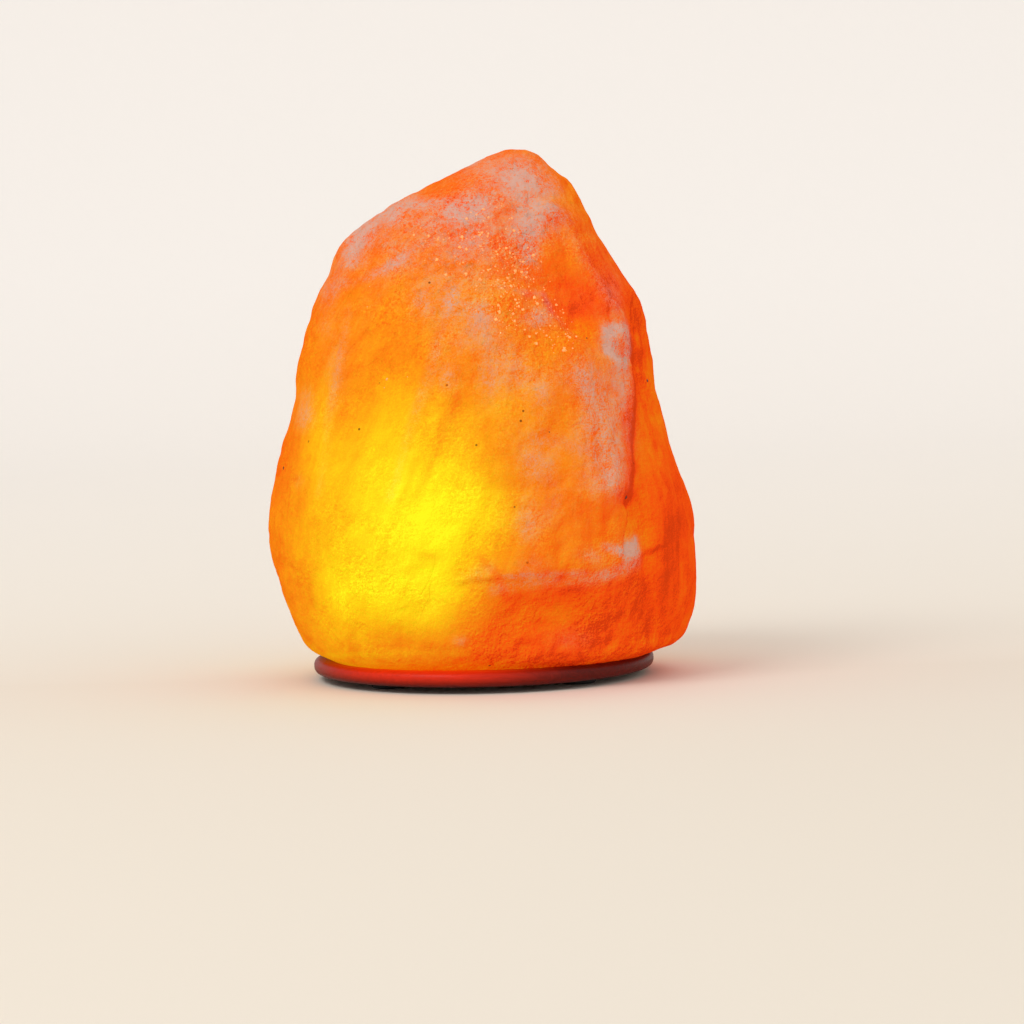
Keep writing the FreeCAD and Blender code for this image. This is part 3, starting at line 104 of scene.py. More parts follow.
@dataclass(frozen=True)
class Noise:
    """Smooth random fields in space, the same on each run.

    Attributes:
        seed: picks the field.
    """

    seed: int

    def corner(self, cell: np.ndarray) -> np.ndarray:
        """Random numbers for the corners of a grid.

        Args:
            cell: the corners, as whole numbers.

        Returns:
            A number from -1 to 1 for each.
        """
        mixed = cell[..., 0] * 73856093 ^ cell[..., 1] * 19349663 ^ cell[..., 2] * 83492791
        mixed = (mixed ^ (self.seed * 2654435761)) & 0xFFFFFFFF
        mixed = ((mixed ^ (mixed >> 13)) * 1274126177) & 0xFFFFFFFF
        mixed ^= mixed >> 16
        return (mixed & 0xFFFF) / 32767.5 - 1

    def smooth(self, points: np.ndarray, size: float) -> np.ndarray:
        """One octave.

        Args:
            points: positions, in millimetres.
            size: size of a bump, in millimetres.

        Returns:
            Numbers from -1 to 1.
        """
        scaled = points / size
        cell = np.floor(scaled).astype(np.int64)
        part = scaled - cell
        part = part**3 * (part * (part * 6 - 15) + 10)
        total = np.zeros(points.shape[:-1])
        for corner in itertools.product((0, 1), repeat=3):
            step = np.array(corner)
            weight = np.prod(np.where(step == 1, part, 1 - part), axis=-1)
            total += weight * self.corner(cell + step)
        return total

    def fractal(
        self, points: np.ndarray, size: float, octaves: int, crests: bool = False
    ) -> np.ndarray:
        """Several octaves, each half the size and half the height of the last.

        Args:
            points: positions, in millimetres.
            size: size of the largest bumps.
            octaves: how many.
            crests: makes sharp crests with round hollows between them.

        Returns:
            Numbers mostly from -1 to 1.
        """
        apart, scale = (51.3, 1.6) if crests else (37.7, 1.0)
        total = np.zeros(points.shape[:-1])
        for octave in range(octaves):
            bumps = self.smooth(points + apart * octave, size / 2**octave)
            total += (1 - 2 * np.abs(bumps) if crests else bumps) / 2**octave
        return total / scale


# ---- The camera, and marks placed as the camera sees them ----


@dataclass(frozen=True)
class Picture:
    """Where the photograph was taken from.

    Attributes:
        target: the point in the middle of the picture, in millimetres.
        distance: camera to that point.
        elevation: degrees that the camera looks down.
        roll: degrees that the picture is turned, with the lamp's left side lower.
        across: width of the picture at the target, in millimetres.
        sensor: width of the camera's sensor, in millimetres.
        farthest: how far the camera sees, in metres.
    """

    target: Triple = (12.7, 0.0, 64.8)
    distance: float = 1400.0
    elevation: float = 4.0
    roll: float = 1.4
    across: float = 409.6
    sensor: float = 36.0
    farthest: float = 20.0

    def axes(self) -> Tuple[np.ndarray, np.ndarray, np.ndarray]:
        """Directions in the lamp's frame.

        Returns:
            Right, up and ahead of a camera that isn't rolled.
        """
        angle = math.radians(self.elevation)
        up = np.array((0.0, math.sin(angle), math.cos(angle)))
        ahead = np.array((0.0, math.cos(angle), -math.sin(angle)))
        return np.array((1.0, 0.0, 0.0)), up, ahead

    def seen(self, points: np.ndarray) -> np.ndarray:
        """Where points appear, on the upright plane through the target.

        Args:
            points: positions, in millimetres.

        Returns:
            X to the right and Z up for each, in millimetres of the lamp.
        """
        right, up, ahead = self.axes()
        away = points - np.array(self.target)
        scale = self.distance / (self.distance + away @ ahead)
        x, z = away @ right * scale + self.target[0], away @ up * scale + self.target[2]
        return np.stack((x, z), axis=-1)

    def add_camera(self) -> None:
        """Adds the scene's camera."""
        right, up, ahead = (Vector(axis) for axis in self.axes())
        turn = math.radians(self.roll)
        across = right * math.cos(turn) - up * math.sin(turn)
        upright = right * math.sin(turn) + up * math.cos(turn)
        place = Vector(self.target) * MM - ahead * self.distance * MM
        lens = bpy.data.cameras.new("camera")
        lens.sensor_width = self.sensor
        lens.lens = self.sensor * self.distance / self.across
        lens.clip_end = self.farthest
        camera = bpy.data.objects.new("camera", lens)
        turned = Matrix((across, upright, -ahead)).transposed().to_4x4()
        camera.matrix_world = Matrix.Translation(place) @ turned
        bpy.context.scene.collection.objects.link(camera)
        bpy.context.scene.camera = camera


PICTURE = Picture()


@dataclass(frozen=True)
class Blob:
    """A soft oval mark on the front, where the camera sees it.

    Attributes:
        x, z: its middle, in millimetres.
        wide, high: its half sizes.
        amount: its strength in the middle.
        tilt: degrees that its long side is turned.
    """

    x: float
    z: float
    wide: float
    high: float
    amount: float
    tilt: float = 0.0

    def field(self, spots: np.ndarray) -> np.ndarray:
        """Its strength at each of some places.

        Args:
            spots: places as Picture.seen gives them.

        Returns:
            An array of numbers.
        """
        turn = math.radians(self.tilt)
        away = spots - np.array((self.x, self.z))
        across = away[..., 0] * math.cos(turn) + away[..., 1] * math.sin(turn)
        along = -away[..., 0] * math.sin(turn) + away[..., 1] * math.cos(turn)
        return self.amount * np.exp(-((across / self.wide) ** 2) - (along / self.high) ** 2)


def nearest(spots: np.ndarray, line: Sequence[Spot]) -> Tuple[np.ndarray, np.ndarray]:
    """How far places are from a line, and on which side of it.

    Args:
        spots: places as Picture.seen gives them.
        line: the line's corners.

    Returns:
        The distance, and 1 to the left of the line's way or -1 to its right.
    """
    best = np.full(spots.shape[:-1], np.inf)
    side = np.zeros(spots.shape[:-1])
    for start, end in zip(line, line[1:]):
        first, run = np.array(start, float), np.subtract(end, start).astype(float)
        share = np.clip(((spots - first) @ run) / (run @ run), 0, 1)
        away = spots - first - share[..., None] * run
        gap = np.hypot(away[..., 0], away[..., 1])
        cross = run[0] * away[..., 1] - run[1] * away[..., 0]
        closer = gap < best
        best = np.where(closer, gap, best)
        side = np.where(closer, np.sign(cross), side)
    return best, side


@dataclass(frozen=True)
class Line:
    """A soft line on the front, where the camera sees it.

    Attributes:
        points: its corners.
        width: its half width.
        amount: its strength.
    """

    points: Tuple[Spot, ...]
    width: float
    amount: float

    def field(self, spots: np.ndarray) -> np.ndarray:
        """Its strength at places that Picture.seen gives."""
        return self.amount * bell(nearest(spots, self.points)[0], self.width)


@dataclass(frozen=True)
class Step:
    """An edge on the front: the left of its way stands proud and the right is sunk.

    Attributes:
        points: its corners.
        rise: how much each side moves, at the edge.
        run: the distance over which each side comes back.
        sharp: half the width of the edge itself.
    """

    points: Tuple[Spot, ...]
    rise: float
    run: float
    sharp: float

    def field(self, spots: np.ndarray) -> np.ndarray:
        """Its height at places that Picture.seen gives."""
        gap, side = nearest(spots, self.points)
        return self.rise * side * np.tanh(gap / self.sharp) * np.exp(-gap / self.run)


Marks = Sequence[Union[Blob, Line, Step]]


def make_marks(*rows: Union[Tuple[float, ...], Line, Step]) -> Marks:
    """Makes a blob of each row of numbers, and keeps lines and steps as they are."""
    return tuple(Blob(*row) if isinstance(row, tuple) else row for row in rows)


def total(marks: Marks, spots: np.ndarray) -> np.ndarray:
    """The sum of some marks at places that Picture.seen gives."""
    return sum((mark.field(spots) for mark in marks), np.zeros(spots.shape[:-1]))


# ---- Node trees ----


def opaque(color: Value) -> Value:
    """Completes a colour for a node.

    Args:
        color: three or four channels, or a socket.

    Returns:
        Four channels, or the same socket.
    """
    if isinstance(color, bpy.types.NodeSocket) or len(color) == 4:
        return color
    return (*color, 1.0)


class Graph:
    """Adds nodes to a tree. All its methods but add return the socket of their result."""

    def __init__(self, tree: bpy.types.NodeTree) -> None:
        """Starts on a tree."""
        self.tree = tree

    def add(self, kind: str, inputs: Optional[Dict] = None, **settings: object) -> bpy.types.Node:
        """Adds one node.

        Args:
            kind: the node's type.
            inputs: by a socket's name or number, a value or another node's output.
            settings: the node's own options.

        Returns:
            The node.
        """
        made = self.tree.nodes.new(kind)
        for name, value in settings.items():
            setattr(made, name, value)
        for key, value in (inputs or {}).items():
            if isinstance(value, bpy.types.NodeSocket):
                self.tree.links.new(value, made.inputs[key])
            else:
                made.inputs[key].default_value = value
        return made

    def math(self, operation: str, first: Value, second: Value = 0.0, third: Value = 0.0) -> Socket:
        """One of the math node's operations."""
        inputs = {0: first, 1: second, 2: third}
        return self.add("ShaderNodeMath", inputs, operation=operation).outputs[0]

    def vector(self, operation: str, first: Value, second: Value, key: Union[int, str] = 1) -> Socket:
        """One of the vector math node's operations, where key is the second's socket."""
        inputs = {0: first, key: second}
        return self.add("ShaderNodeVectorMath", inputs, operation=operation).outputs[0]

    def times(self, first: Value, *others: Value) -> Socket:
        """Multiplies numbers.

        Args:
            first, others: the numbers.

        Returns:
            The socket of their product.
        """
        for other in others:
            first = self.math("MULTIPLY", first, other)
        return first

    def gather(self, base: Value, *parts: Tuple[Socket, float]) -> Socket:
        """A number with shares of others added.

        Args:
            base: the number.
            parts: the others, each with its share.

        Returns:
            The socket of the sum.
        """
        for part, share in parts:
            base = self.math("MULTIPLY_ADD", part, share, base)
        return base

    def vary(self, base: Value, *parts: Tuple[Socket, float]) -> Socket:
        """As gather, with others that lie about 0.5 and change nothing there."""
        return self.gather(base, *((self.math("SUBTRACT", part, 0.5), share) for part, share in parts))

    def mix(self, share: Value, first: Value, second: Value) -> Socket:
        """Two colours mixed, by the share of the second."""
        inputs = {0: share, 6: opaque(first), 7: opaque(second)}
        return self.add("ShaderNodeMix", inputs, data_type="RGBA").outputs[2]

    def ramp(self, share: Value, stops: Sequence[Tuple[float, Color]]) -> Socket:
        """A colour from a ramp.

        Args:
            share: where on the ramp.
            stops: positions and linear colours.

        Returns:
            The colour's socket.
        """
        made = self.add("ShaderNodeValToRGB", {0: share})
        elements = made.color_ramp.elements
        while len(elements) < len(stops):
            elements.new(0.5)
        for element, (place, color) in zip(elements, stops):
            element.position = place
            element.color = opaque(color)
        return made.outputs[0]

    def band(self, value: Socket, low: float, high: float) -> Socket:
        """A number that rises from 0 at low to 1 at high, level at both ends."""
        inputs = {0: value, 1: low, 2: high, 3: 0.0, 4: 1.0}
        return self.add("ShaderNodeMapRange", inputs, interpolation_type="SMOOTHSTEP").outputs[0]

    def fall(self, value: Socket, low: float, high: float) -> Socket:
        """A number that falls from 1 at low to 0 at high, level at both ends."""
        return self.math("SUBTRACT", 1.0, self.band(value, low, high))

    def noise(
        self, where: Socket, scale: float, detail: float = 3.0, rough: float = 0.55, twist: float = 0.0
    ) -> Socket:
        """Cloudy noise about 0.5.

        Args:
            where: the socket of a position.
            scale: bumps a metre.
            detail, rough, twist: as the noise node has them.

        Returns:
            The socket of a number from 0 to 1.
        """
        inputs = {"Vector": where, "Scale": scale, "Detail": detail, "Roughness": rough}
        inputs["Distortion"] = twist
        return self.add("ShaderNodeTexNoise", inputs).outputs[0]

    def cells(self, where: Socket, scale: float) -> Socket:
        """The distance to the middle of the nearest of irregular cells, so many a metre."""
        return self.add("ShaderNodeTexVoronoi", {"Vector": where, "Scale": scale}).outputs["Distance"]

    def place(self, scale: Triple = (1, 1, 1)) -> Socket:
        """A surface point's position in the lamp's frame, stretched by a scale."""
        spot = self.add("ShaderNodeTexCoord").outputs["Object"]
        return self.add("ShaderNodeMapping", {0: spot, 3: scale}).outputs[0]

    def apart(self, where: Socket) -> List[Socket]:
        """The sockets of a position's X, Y and Z."""
        return list(self.add("ShaderNodeSeparateXYZ", {0: where}).outputs)

    def bump(self, height: Socket, depth_mm: float, strength: float) -> Socket:
        """Relief too fine for the mesh.

        Args:
            height: the socket of a height from 0 to 1.
            depth_mm: what a height of 1 stands for.
            strength: how much of it to show.

        Returns:
            The socket of a normal.
        """
        inputs = {"Strength": strength, "Distance": depth_mm * MM, "Height": height}
        return self.add("ShaderNodeBump", inputs).outputs[0]


class MaterialGraph(Graph):
    """The node tree of a new material."""

    def __init__(self, name: str) -> None:
        """Makes the material.

        Args:
            name: its name.
        """
        self.material = bpy.data.materials.new(name)
        self.material.use_nodes = True
        super().__init__(self.material.node_tree)
        self.where = self.place()

    def surface(self, **inputs: Value) -> bpy.types.Material:
        """Sets the surface's sockets.

        Args:
            inputs: sockets by name, with _ for a space, and a value or an output for each.

        Returns:
            The material.
        """
        shader = self.tree.nodes["Principled BSDF"]
        names = {socket.name.lower().replace(" ", "_"): socket for socket in shader.inputs}
        for key, value in inputs.items():
            if isinstance(value, bpy.types.NodeSocket):
                self.tree.links.new(value, names[key])
            else:
                names[key].default_value = opaque(value) if isinstance(value, tuple) else value
        return self.material


# ---- Finishes ----


@dataclass(frozen=True)
class SaltFinish:
    """Rock salt, lit from inside. It reads the rock's attributes.

    They are glow, frost, wear and lean: the light that comes through, with painted shade in the
    rock's creases and hollows, how frosty the skin is, how pitted it is, and how much its relief
    faces the light above, which paints shade and highlight into the light and the frost.

    Attributes:
        lit: colours of the light that comes through, from dim to bright.
        body: colour of the salt itself.
        pale: colour of its frosty skin.
        frosted: colour of the light that comes through frost.
        clay: colour of the clay in it.
        above: the way that fine relief is lit.
        lean: degrees that streaks and hairlines lean to the left, or less than 0 to the right.
        column: where the upright streaks of the column take over, in metres to the right.
    """

    lit: Tuple[Tuple[float, Color], ...] = (
        (0.000, linear(118, 0, 0)), (0.060, linear(168, 32, 0)), (0.125, linear(170, 63, 0)),
        (0.250, linear(168, 94, 0)), (0.375, linear(172, 123, 3)), (0.500, linear(175, 148, 3)),
        (0.625, linear(179, 172, 3)), (0.750, linear(184, 195, 6)), (0.875, linear(190, 218, 10)),
        (1.000, linear(196, 243, 18)),
    )
    body: Color = linear(204, 72, 20)
    pale: Color = linear(214, 170, 156)
    frosted: Color = linear(62, 32, 8)
    clay: Color = linear(92, 34, 14)
    above: Triple = (-0.00028, -0.0002, 0.00036)
    lean: float = -24.0
    column: Tuple[float, float] = (0.018, 0.044)

    def stretched(self, graph: MaterialGraph, lean: float, share: float) -> Socket:
        """The position, drawn out along a leaning way.

        Args:
            graph: the material's graph.
            lean: degrees that the way leans to the left of upright, at its top end.
            share: how much less the position changes along it.

        Returns:
            The socket of the stretched position.
        """
        turned = graph.add("ShaderNodeMapping", {0: graph.where, 2: (0, math.radians(lean), 0)})
        return graph.add("ShaderNodeMapping", {0: turned.outputs[0], 3: (1, 1, share)}).outputs[0]

    def make(self) -> bpy.types.Material:
        """Makes the material.

        Returns:
            The material.
        """
        graph = MaterialGraph("salt")
        where = graph.where
        glow, frost, wear, lean = (
            graph.add("ShaderNodeAttribute", attribute_name=name).outputs["Fac"]
            for name in ("glow", "frost", "wear", "lean")
        )
        cloud = graph.noise(where, 62, 6, 0.62, 0.4)
        fine = graph.noise(where, 520, 4, 0.7)
        grain = graph.noise(where, 1900, 2, 0.7)
        # What fine relief faces the light above, strong in places.
        lit_side = graph.add("ShaderNodeMapping", {0: where, 1: self.above}).outputs[0]
        shifted, still = (graph.noise(spot, 620, 3, 0.75, 0.3) for spot in (lit_side, where))
        rugged = graph.band(graph.noise(where, 48, 3, 0.6, 0.5), 0.40, 0.64)
        rugged = graph.gather(0.4, (rugged, 0.75))
        emboss = graph.times(graph.math("SUBTRACT", shifted, still), rugged, wear)
        # Streaks lean, but stand upright on the column.
        upright = graph.noise(self.stretched(graph, 0, 0.10), 260, 4, 0.6, 0.4)
        leaning = graph.noise(self.stretched(graph, self.lean, 0.13), 230, 4, 0.6, 0.5)
        streak = graph.mix(graph.band(graph.apart(where)[0], *self.column), leaning, upright)
        # Hairlines, in places.
        vein = graph.noise(self.stretched(graph, self.lean, 0.3), 64, 2, 0.5, 0.3)
        vein = graph.math("ABSOLUTE", graph.math("SUBTRACT", vein, 0.5))
        places = graph.band(graph.noise(where, 70, 3), 0.50, 0.60)
        hair = graph.times(graph.fall(vein, 0.0, 0.009), places, wear)
        # The light through the salt: cloudy, streaked, and shaded by its fine relief.
        level = graph.vary(glow, (cloud, 0.26), (streak, 0.22), (grain, 0.20))
        level = graph.gather(level, (emboss, -0.62), (hair, -0.06), (lean, 0.30))
        light = graph.ramp(level, self.lit)
        # The frosty skin breaks up into clouds and grains, and is paler where its fine relief faces the
        # light above and thinner where it faces away: painted highlight and shade.
        broken = graph.vary(1.0, (cloud, 2.2), (fine, 2.6), (grain, 3.0), (streak, 1.5))
        broken = graph.gather(broken, (emboss, -3.0), (lean, 0.9))
        skin = graph.times(graph.band(graph.times(frost, broken), 0.0, 1.1), 0.94)
        # Specks of clay.
        rare = graph.band(graph.noise(where, 38, 1), 0.54, 0.62)
        speck = graph.times(graph.fall(graph.cells(where, 105), 0.03, 0.07), rare)
        # Relief too fine for the mesh.
        pits = graph.times(graph.band(graph.noise(where, 260, 3, 0.6), 0.50, 0.80), wear)
        facets = graph.times(graph.cells(where, 340), wear)
        height = graph.gather(0.0, (cloud, 0.7), (fine, 0.55), (pits, -0.6), (facets, 0.28))
        height = graph.gather(height, (hair, -0.12), (grain, 0.16), (streak, 0.4))
        return graph.surface(
            base_color=graph.mix(speck, graph.mix(skin, self.body, self.pale), self.clay),
            roughness=graph.gather(graph.vary(0.42, (fine, 0.4)), (skin, 0.25)),
            normal=graph.bump(height, 1.5, 0.85),
            emission_color=graph.mix(
                graph.times(speck, 0.8), graph.mix(skin, light, self.frosted), self.clay
            ),
            emission_strength=1.0,
            specular_ior_level=0.0,
            ior=1.3,
        )


@dataclass(frozen=True)
class GrainFinish:
    """Small clear or dark crystals on the rock.

    Attributes:
        name: the material's name.
        tone: colour of a crystal.
        light: colour of the light in it.
        strength: how strong that light is.
        rough: how dull it is.
    """

    name: str
    tone: Color
    light: Color
    strength: float
    rough: float

    def make(self) -> bpy.types.Material:
        """Makes the material.

        Returns:
            The material.
        """
        graph = MaterialGraph(self.name)
        spots = graph.noise(graph.where, 900, 2)
        return graph.surface(
            base_color=graph.mix(spots, self.tone, shade(self.tone, 0.7)),
            roughness=graph.gather(self.rough, (spots, 0.2)),
            normal=graph.bump(spots, 0.1, 0.5),
            emission_color=graph.mix(graph.noise(graph.where, 130, 1), self.light, self.tone),
            emission_strength=self.strength,
            specular_ior_level=0.3,
            coat_weight=0.15,
            coat_roughness=0.1,
        )


@dataclass(frozen=True)
class WoodFinish:
    """Stained and lacquered wood, with the lamp's light on its front.

    Attributes:
        dark, light: colours of the grain.
        pore: colour of the pores in it.
        lit: colour of the light that falls on it.
        middle: where most of that light falls, in metres to the left.
    """

    dark: Color = linear(58, 9, 4)
    light: Color = linear(120, 24, 10)
    pore: Color = linear(26, 8, 5)
    lit: Color = linear(214, 36, 2)
    middle: float = 0.027

    def make(self) -> bpy.types.Material:
        """Makes the material.

        Returns:
            The material.
        """
        graph = MaterialGraph("lacquered_wood")
        along = graph.place((0.12, 1.0, 1.0))
        grain = graph.noise(along, 900, 5, 0.65)
        pores = graph.band(graph.noise(graph.place((0.06, 1, 1)), 1500, 3, 0.7), 0.56, 0.72)
        rings = graph.math("FRACT", graph.times(graph.noise(along, 120, 4, 0.6, 1.5), 9.0))
        tone = graph.gather(graph.times(rings, 0.45), (grain, 0.5))
        color = graph.mix(tone, self.dark, self.light)
        # Light from the rock falls on the front, most of it left of the middle.
        x, y, z = graph.apart(graph.where)
        aside = graph.math("ABSOLUTE", graph.math("ADD", x, self.middle))
        share = graph.times(graph.fall(aside, 0.012, 0.066), graph.fall(y, -0.062, 0.02))
        share = graph.times(share, graph.band(z, 0.0026, 0.0075), graph.gather(0.7, (grain, 0.5)))
        return graph.surface(
            base_color=graph.mix(graph.times(pores, 0.6), color, self.pore),
            roughness=graph.gather(0.34, (grain, 0.2)),
            normal=graph.bump(graph.math("SUBTRACT", grain, pores), 0.12, 0.5),
            specular_ior_level=0.14,
            coat_weight=0.04,
            coat_roughness=0.2,
            emission_color=graph.mix(share, (0.0, 0.0, 0.0), self.lit),
            emission_strength=1.0,
        )


class Polish(Enum):
    """How a metal is finished, with its least roughness."""

    BRUSHED = 0.30
    BRIGHT = 0.16
    TINNED = 0.42


@dataclass(frozen=True)
class MetalFinish:
    """Bare or plated metal.

    Attributes:
        name: the material's name.
        tone: its colour.
        polish: its surface.
    """

    name: str
    tone: Color
    polish: Polish

    def make(self) -> bpy.types.Material:
        """Makes the material.

        Returns:
            The material.
        """
        graph = MaterialGraph(self.name)
        stretch = (1, 1, 0.08) if self.polish is Polish.BRUSHED else (1, 1, 1)
        lines = graph.noise(graph.place(stretch), 2600, 4, 0.7)
        stain = graph.noise(graph.where, 160, 4, 0.6, 0.5)
        return graph.surface(
            base_color=graph.mix(graph.band(stain, 0.35, 0.8), self.tone, shade(self.tone, 0.62)),
            metallic=1.0,
            roughness=graph.gather(self.polish.value, (lines, 0.16), (stain, 0.12)),
            normal=graph.bump(lines, 0.03, 0.6),
        )


@dataclass(frozen=True)
class MouldedFinish:
    """Moulded plastic, fired ceramic or rubber.

    Attributes:
        name: the material's name.
        tone: its colour.
        rough: its mean roughness.
        grain: grains a metre.
        depth: height of the grain, in millimetres.
        coat: how glossy its skin is.
    """

    name: str
    tone: Color
    rough: float
    grain: float
    depth: float
    coat: float = 0.0

    def make(self) -> bpy.types.Material:
        """Makes the material.

        Returns:
            The material.
        """
        graph = MaterialGraph(self.name)
        grain = graph.noise(graph.where, self.grain, 4, 0.65)
        dirt = graph.band(graph.noise(graph.where, 70, 5, 0.6, 0.4), 0.45, 0.85)
        return graph.surface(
            base_color=graph.mix(dirt, self.tone, shade(self.tone, 0.72)),
            roughness=graph.vary(self.rough, (grain, 0.2)),
            normal=graph.bump(grain, self.depth, 0.6),
            coat_weight=self.coat,
            coat_roughness=0.15,
        )


@dataclass(frozen=True)
class GlassFinish:
    """Clear or dark glass.

    Attributes:
        name: the material's name.
        tone: its colour.
        clear: how much light goes through.
        rough: its roughness.
    """

    name: str
    tone: Color
    clear: float
    rough: float

    def make(self) -> bpy.types.Material:
        """Makes the material.

        Returns:
            The material.
        """
        graph = MaterialGraph(self.name)
        haze = graph.noise(graph.where, 130, 3, 0.6)
        return graph.surface(
            base_color=graph.mix(haze, self.tone, shade(self.tone, 0.94)),
            roughness=graph.gather(self.rough, (haze, 0.05)),
            normal=graph.bump(haze, 0.05, 0.2),
            transmission_weight=self.clear,
            ior=1.5,
        )


@dataclass(frozen=True)
class HotFinish:
    """A glowing filament.

    Attributes:
        metal: colour of the metal.
        light, deep: colours of its light.
        strength: how strong it is.
    """

    metal: Color = linear(120, 110, 100)
    light: Color = linear(255, 190, 96)
    deep: Color = linear(255, 150, 60)
    strength: float = 14.0

    def make(self) -> bpy.types.Material:
        """Makes the material.

        Returns:
            The material.
        """
        graph = MaterialGraph("hot_wire")
        ripple = graph.noise(graph.where, 1400, 2)
        return graph.surface(
            base_color=self.metal,
            metallic=1.0,
            roughness=graph.gather(0.3, (ripple, 0.2)),
            emission_color=graph.mix(ripple, self.light, self.deep),
            emission_strength=self.strength,
        )


SALT = SaltFinish()
CLEAR_GRAIN = GrainFinish("clear_grain", linear(222, 140, 92), linear(240, 172, 80), 0.8, 0.2)
CLAY_GRAIN = GrainFinish("clay_grain", linear(84, 34, 20), linear(60, 18, 6), 0.3, 0.55)
WOOD = WoodFinish()
STEEL = MetalFinish("spring_steel", linear(184, 182, 178), Polish.BRUSHED)
ZINC = MetalFinish("zinc_plate", linear(206, 198, 172), Polish.BRIGHT)
BRASS = MetalFinish("brass", linear(214, 176, 96), Polish.BRIGHT)
NICKEL = MetalFinish("nickel", linear(204, 202, 196), Polish.BRIGHT)
TIN = MetalFinish("tin", linear(168, 168, 170), Polish.TINNED)
PLASTIC = MouldedFinish("white_plastic", linear(226, 222, 210), 0.34, 1500, 0.02, 0.3)
CERAMIC = MouldedFinish("ceramic", linear(222, 216, 200), 0.62, 900, 0.05)
RUBBER = MouldedFinish("rubber", linear(34, 33, 33), 0.72, 1700, 0.06)
GLASS = GlassFinish("clear_glass", linear(255, 250, 240), 1.0, 0.02)
BLACK_GLASS = GlassFinish("black_glass", linear(16, 14, 20), 0.0, 0.08)
HOT = HotFinish()


# ---- Meshes ----


def smooth_shade(mesh: bpy.types.Mesh, sharp: float) -> None:
    """Shades a mesh smooth.

    Args:
        mesh: the mesh.
        sharp: edges with a larger angle stay sharp, in degrees.
    """
    mesh.polygons.foreach_set("use_smooth", [True] * len(mesh.polygons))
    if sharp < 180.0:
        mesh.set_sharp_from_angle(angle=math.radians(sharp))


def new_mesh(name: str, points: np.ndarray, faces: List, sharp: float = 180.0) -> bpy.types.Mesh:
    """Makes a smooth-shaded mesh.

    Args:
        name: the mesh's name.
        points: corners, in millimetres.
        faces: the corners of each face.
        sharp: edges with a larger angle stay sharp, in degrees.

    Returns:
        The mesh, in metres.
    """
    mesh = bpy.data.meshes.new(name)
    mesh.from_pydata((np.asarray(points) * MM).tolist(), [], faces)
    mesh.update()
    smooth_shade(mesh, sharp)
    return mesh


def new_piece(name: str, mesh: bpy.types.Mesh, finish: bpy.types.Material) -> bpy.types.Object:
    """Puts a mesh in the scene.

    Args:
        name: the piece's name.
        mesh: its mesh, in metres and in place.
        finish: its material.

    Returns:
        The piece.
    """
    mesh.materials.clear()
    mesh.materials.append(finish)
    piece = bpy.data.objects.new(name, mesh)
    bpy.context.scene.collection.objects.link(piece)
    return piece


def add_piece(
    name: str, mesh: bpy.types.Mesh, finish: bpy.types.Material, body: str, node: str = ""
) -> bpy.types.Object:
    """Puts a piece of the lamp in the scene.

    Args:
        name, mesh, finish: as new_piece takes them.
        body: what it rides on.
        node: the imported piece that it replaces, if it replaces one.

    Returns:
        The piece.
    """
    piece = new_piece(name, mesh, finish)
    if node:
        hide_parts(node)
    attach(piece, body)
    return piece


def ring_faces(rows: int, columns: int) -> List[Tuple[int, int, int, int]]:
    """Faces of a grid that closes on itself sideways.

    Args:
        rows, columns: its size.

    Returns:
        Four corners for each face.
    """
    faces = []
    for low in range(0, (rows - 1) * columns, columns):
        high = low + columns
        for column in range(columns):
            following = (column + 1) % columns
            faces.append((low + column, low + following, high + following, high + column))
    return faces


@dataclass(frozen=True)
class Thread:
    """A rolled round thread, right-handed.

    Attributes:
        pitch: rise of one turn.
        low, high: where it starts and ends.
        depth: its height over the root.
        columns: steps round.
        runout: turns over which it rises and dies away.
    """

    pitch: float
    low: float
    high: float
    depth: float
    columns: int = 128
    runout: float = 0.6

    def wave(self, turn: np.ndarray, height: float) -> np.ndarray:
        """How far the thread stands over its root.

        Args:
            turn: angles, in radians.
            height: where the ring is.

        Returns:
            A height for each angle.
        """
        phase = (height - self.low) / self.pitch - turn / (2 * math.pi)
        crest = 0.5 - 0.5 * np.cos(2 * math.pi * phase)
        rise = smooth_step(0, self.runout, phase)
        end = smooth_step(0, self.runout, (self.high - height) / self.pitch)
        return self.depth * crest * (rise * end)

    def sleeve(self, name: str, rings: Sequence[Triple]) -> bpy.types.Mesh:
        """A round sleeve whose wall takes the wave of the thread.

        Args:
            name: the mesh's name.
            rings: radius, height and share of the wave of each ring, right round the wall.

        Returns:
            The mesh.
        """
        turn = 2 * math.pi * np.arange(self.columns) / self.columns
        points = []
        for radius, height, share in rings:
            reach = radius + share * self.wave(turn, height)
            points.append(np.stack((reach * np.cos(turn), reach * np.sin(turn), 0 * turn + height), -1))
        loop = np.concatenate(points + points[:1])
        return new_mesh(name, loop, ring_faces(len(rings) + 1, self.columns), sharp=50.0)


# ---- Geometry node trees ----


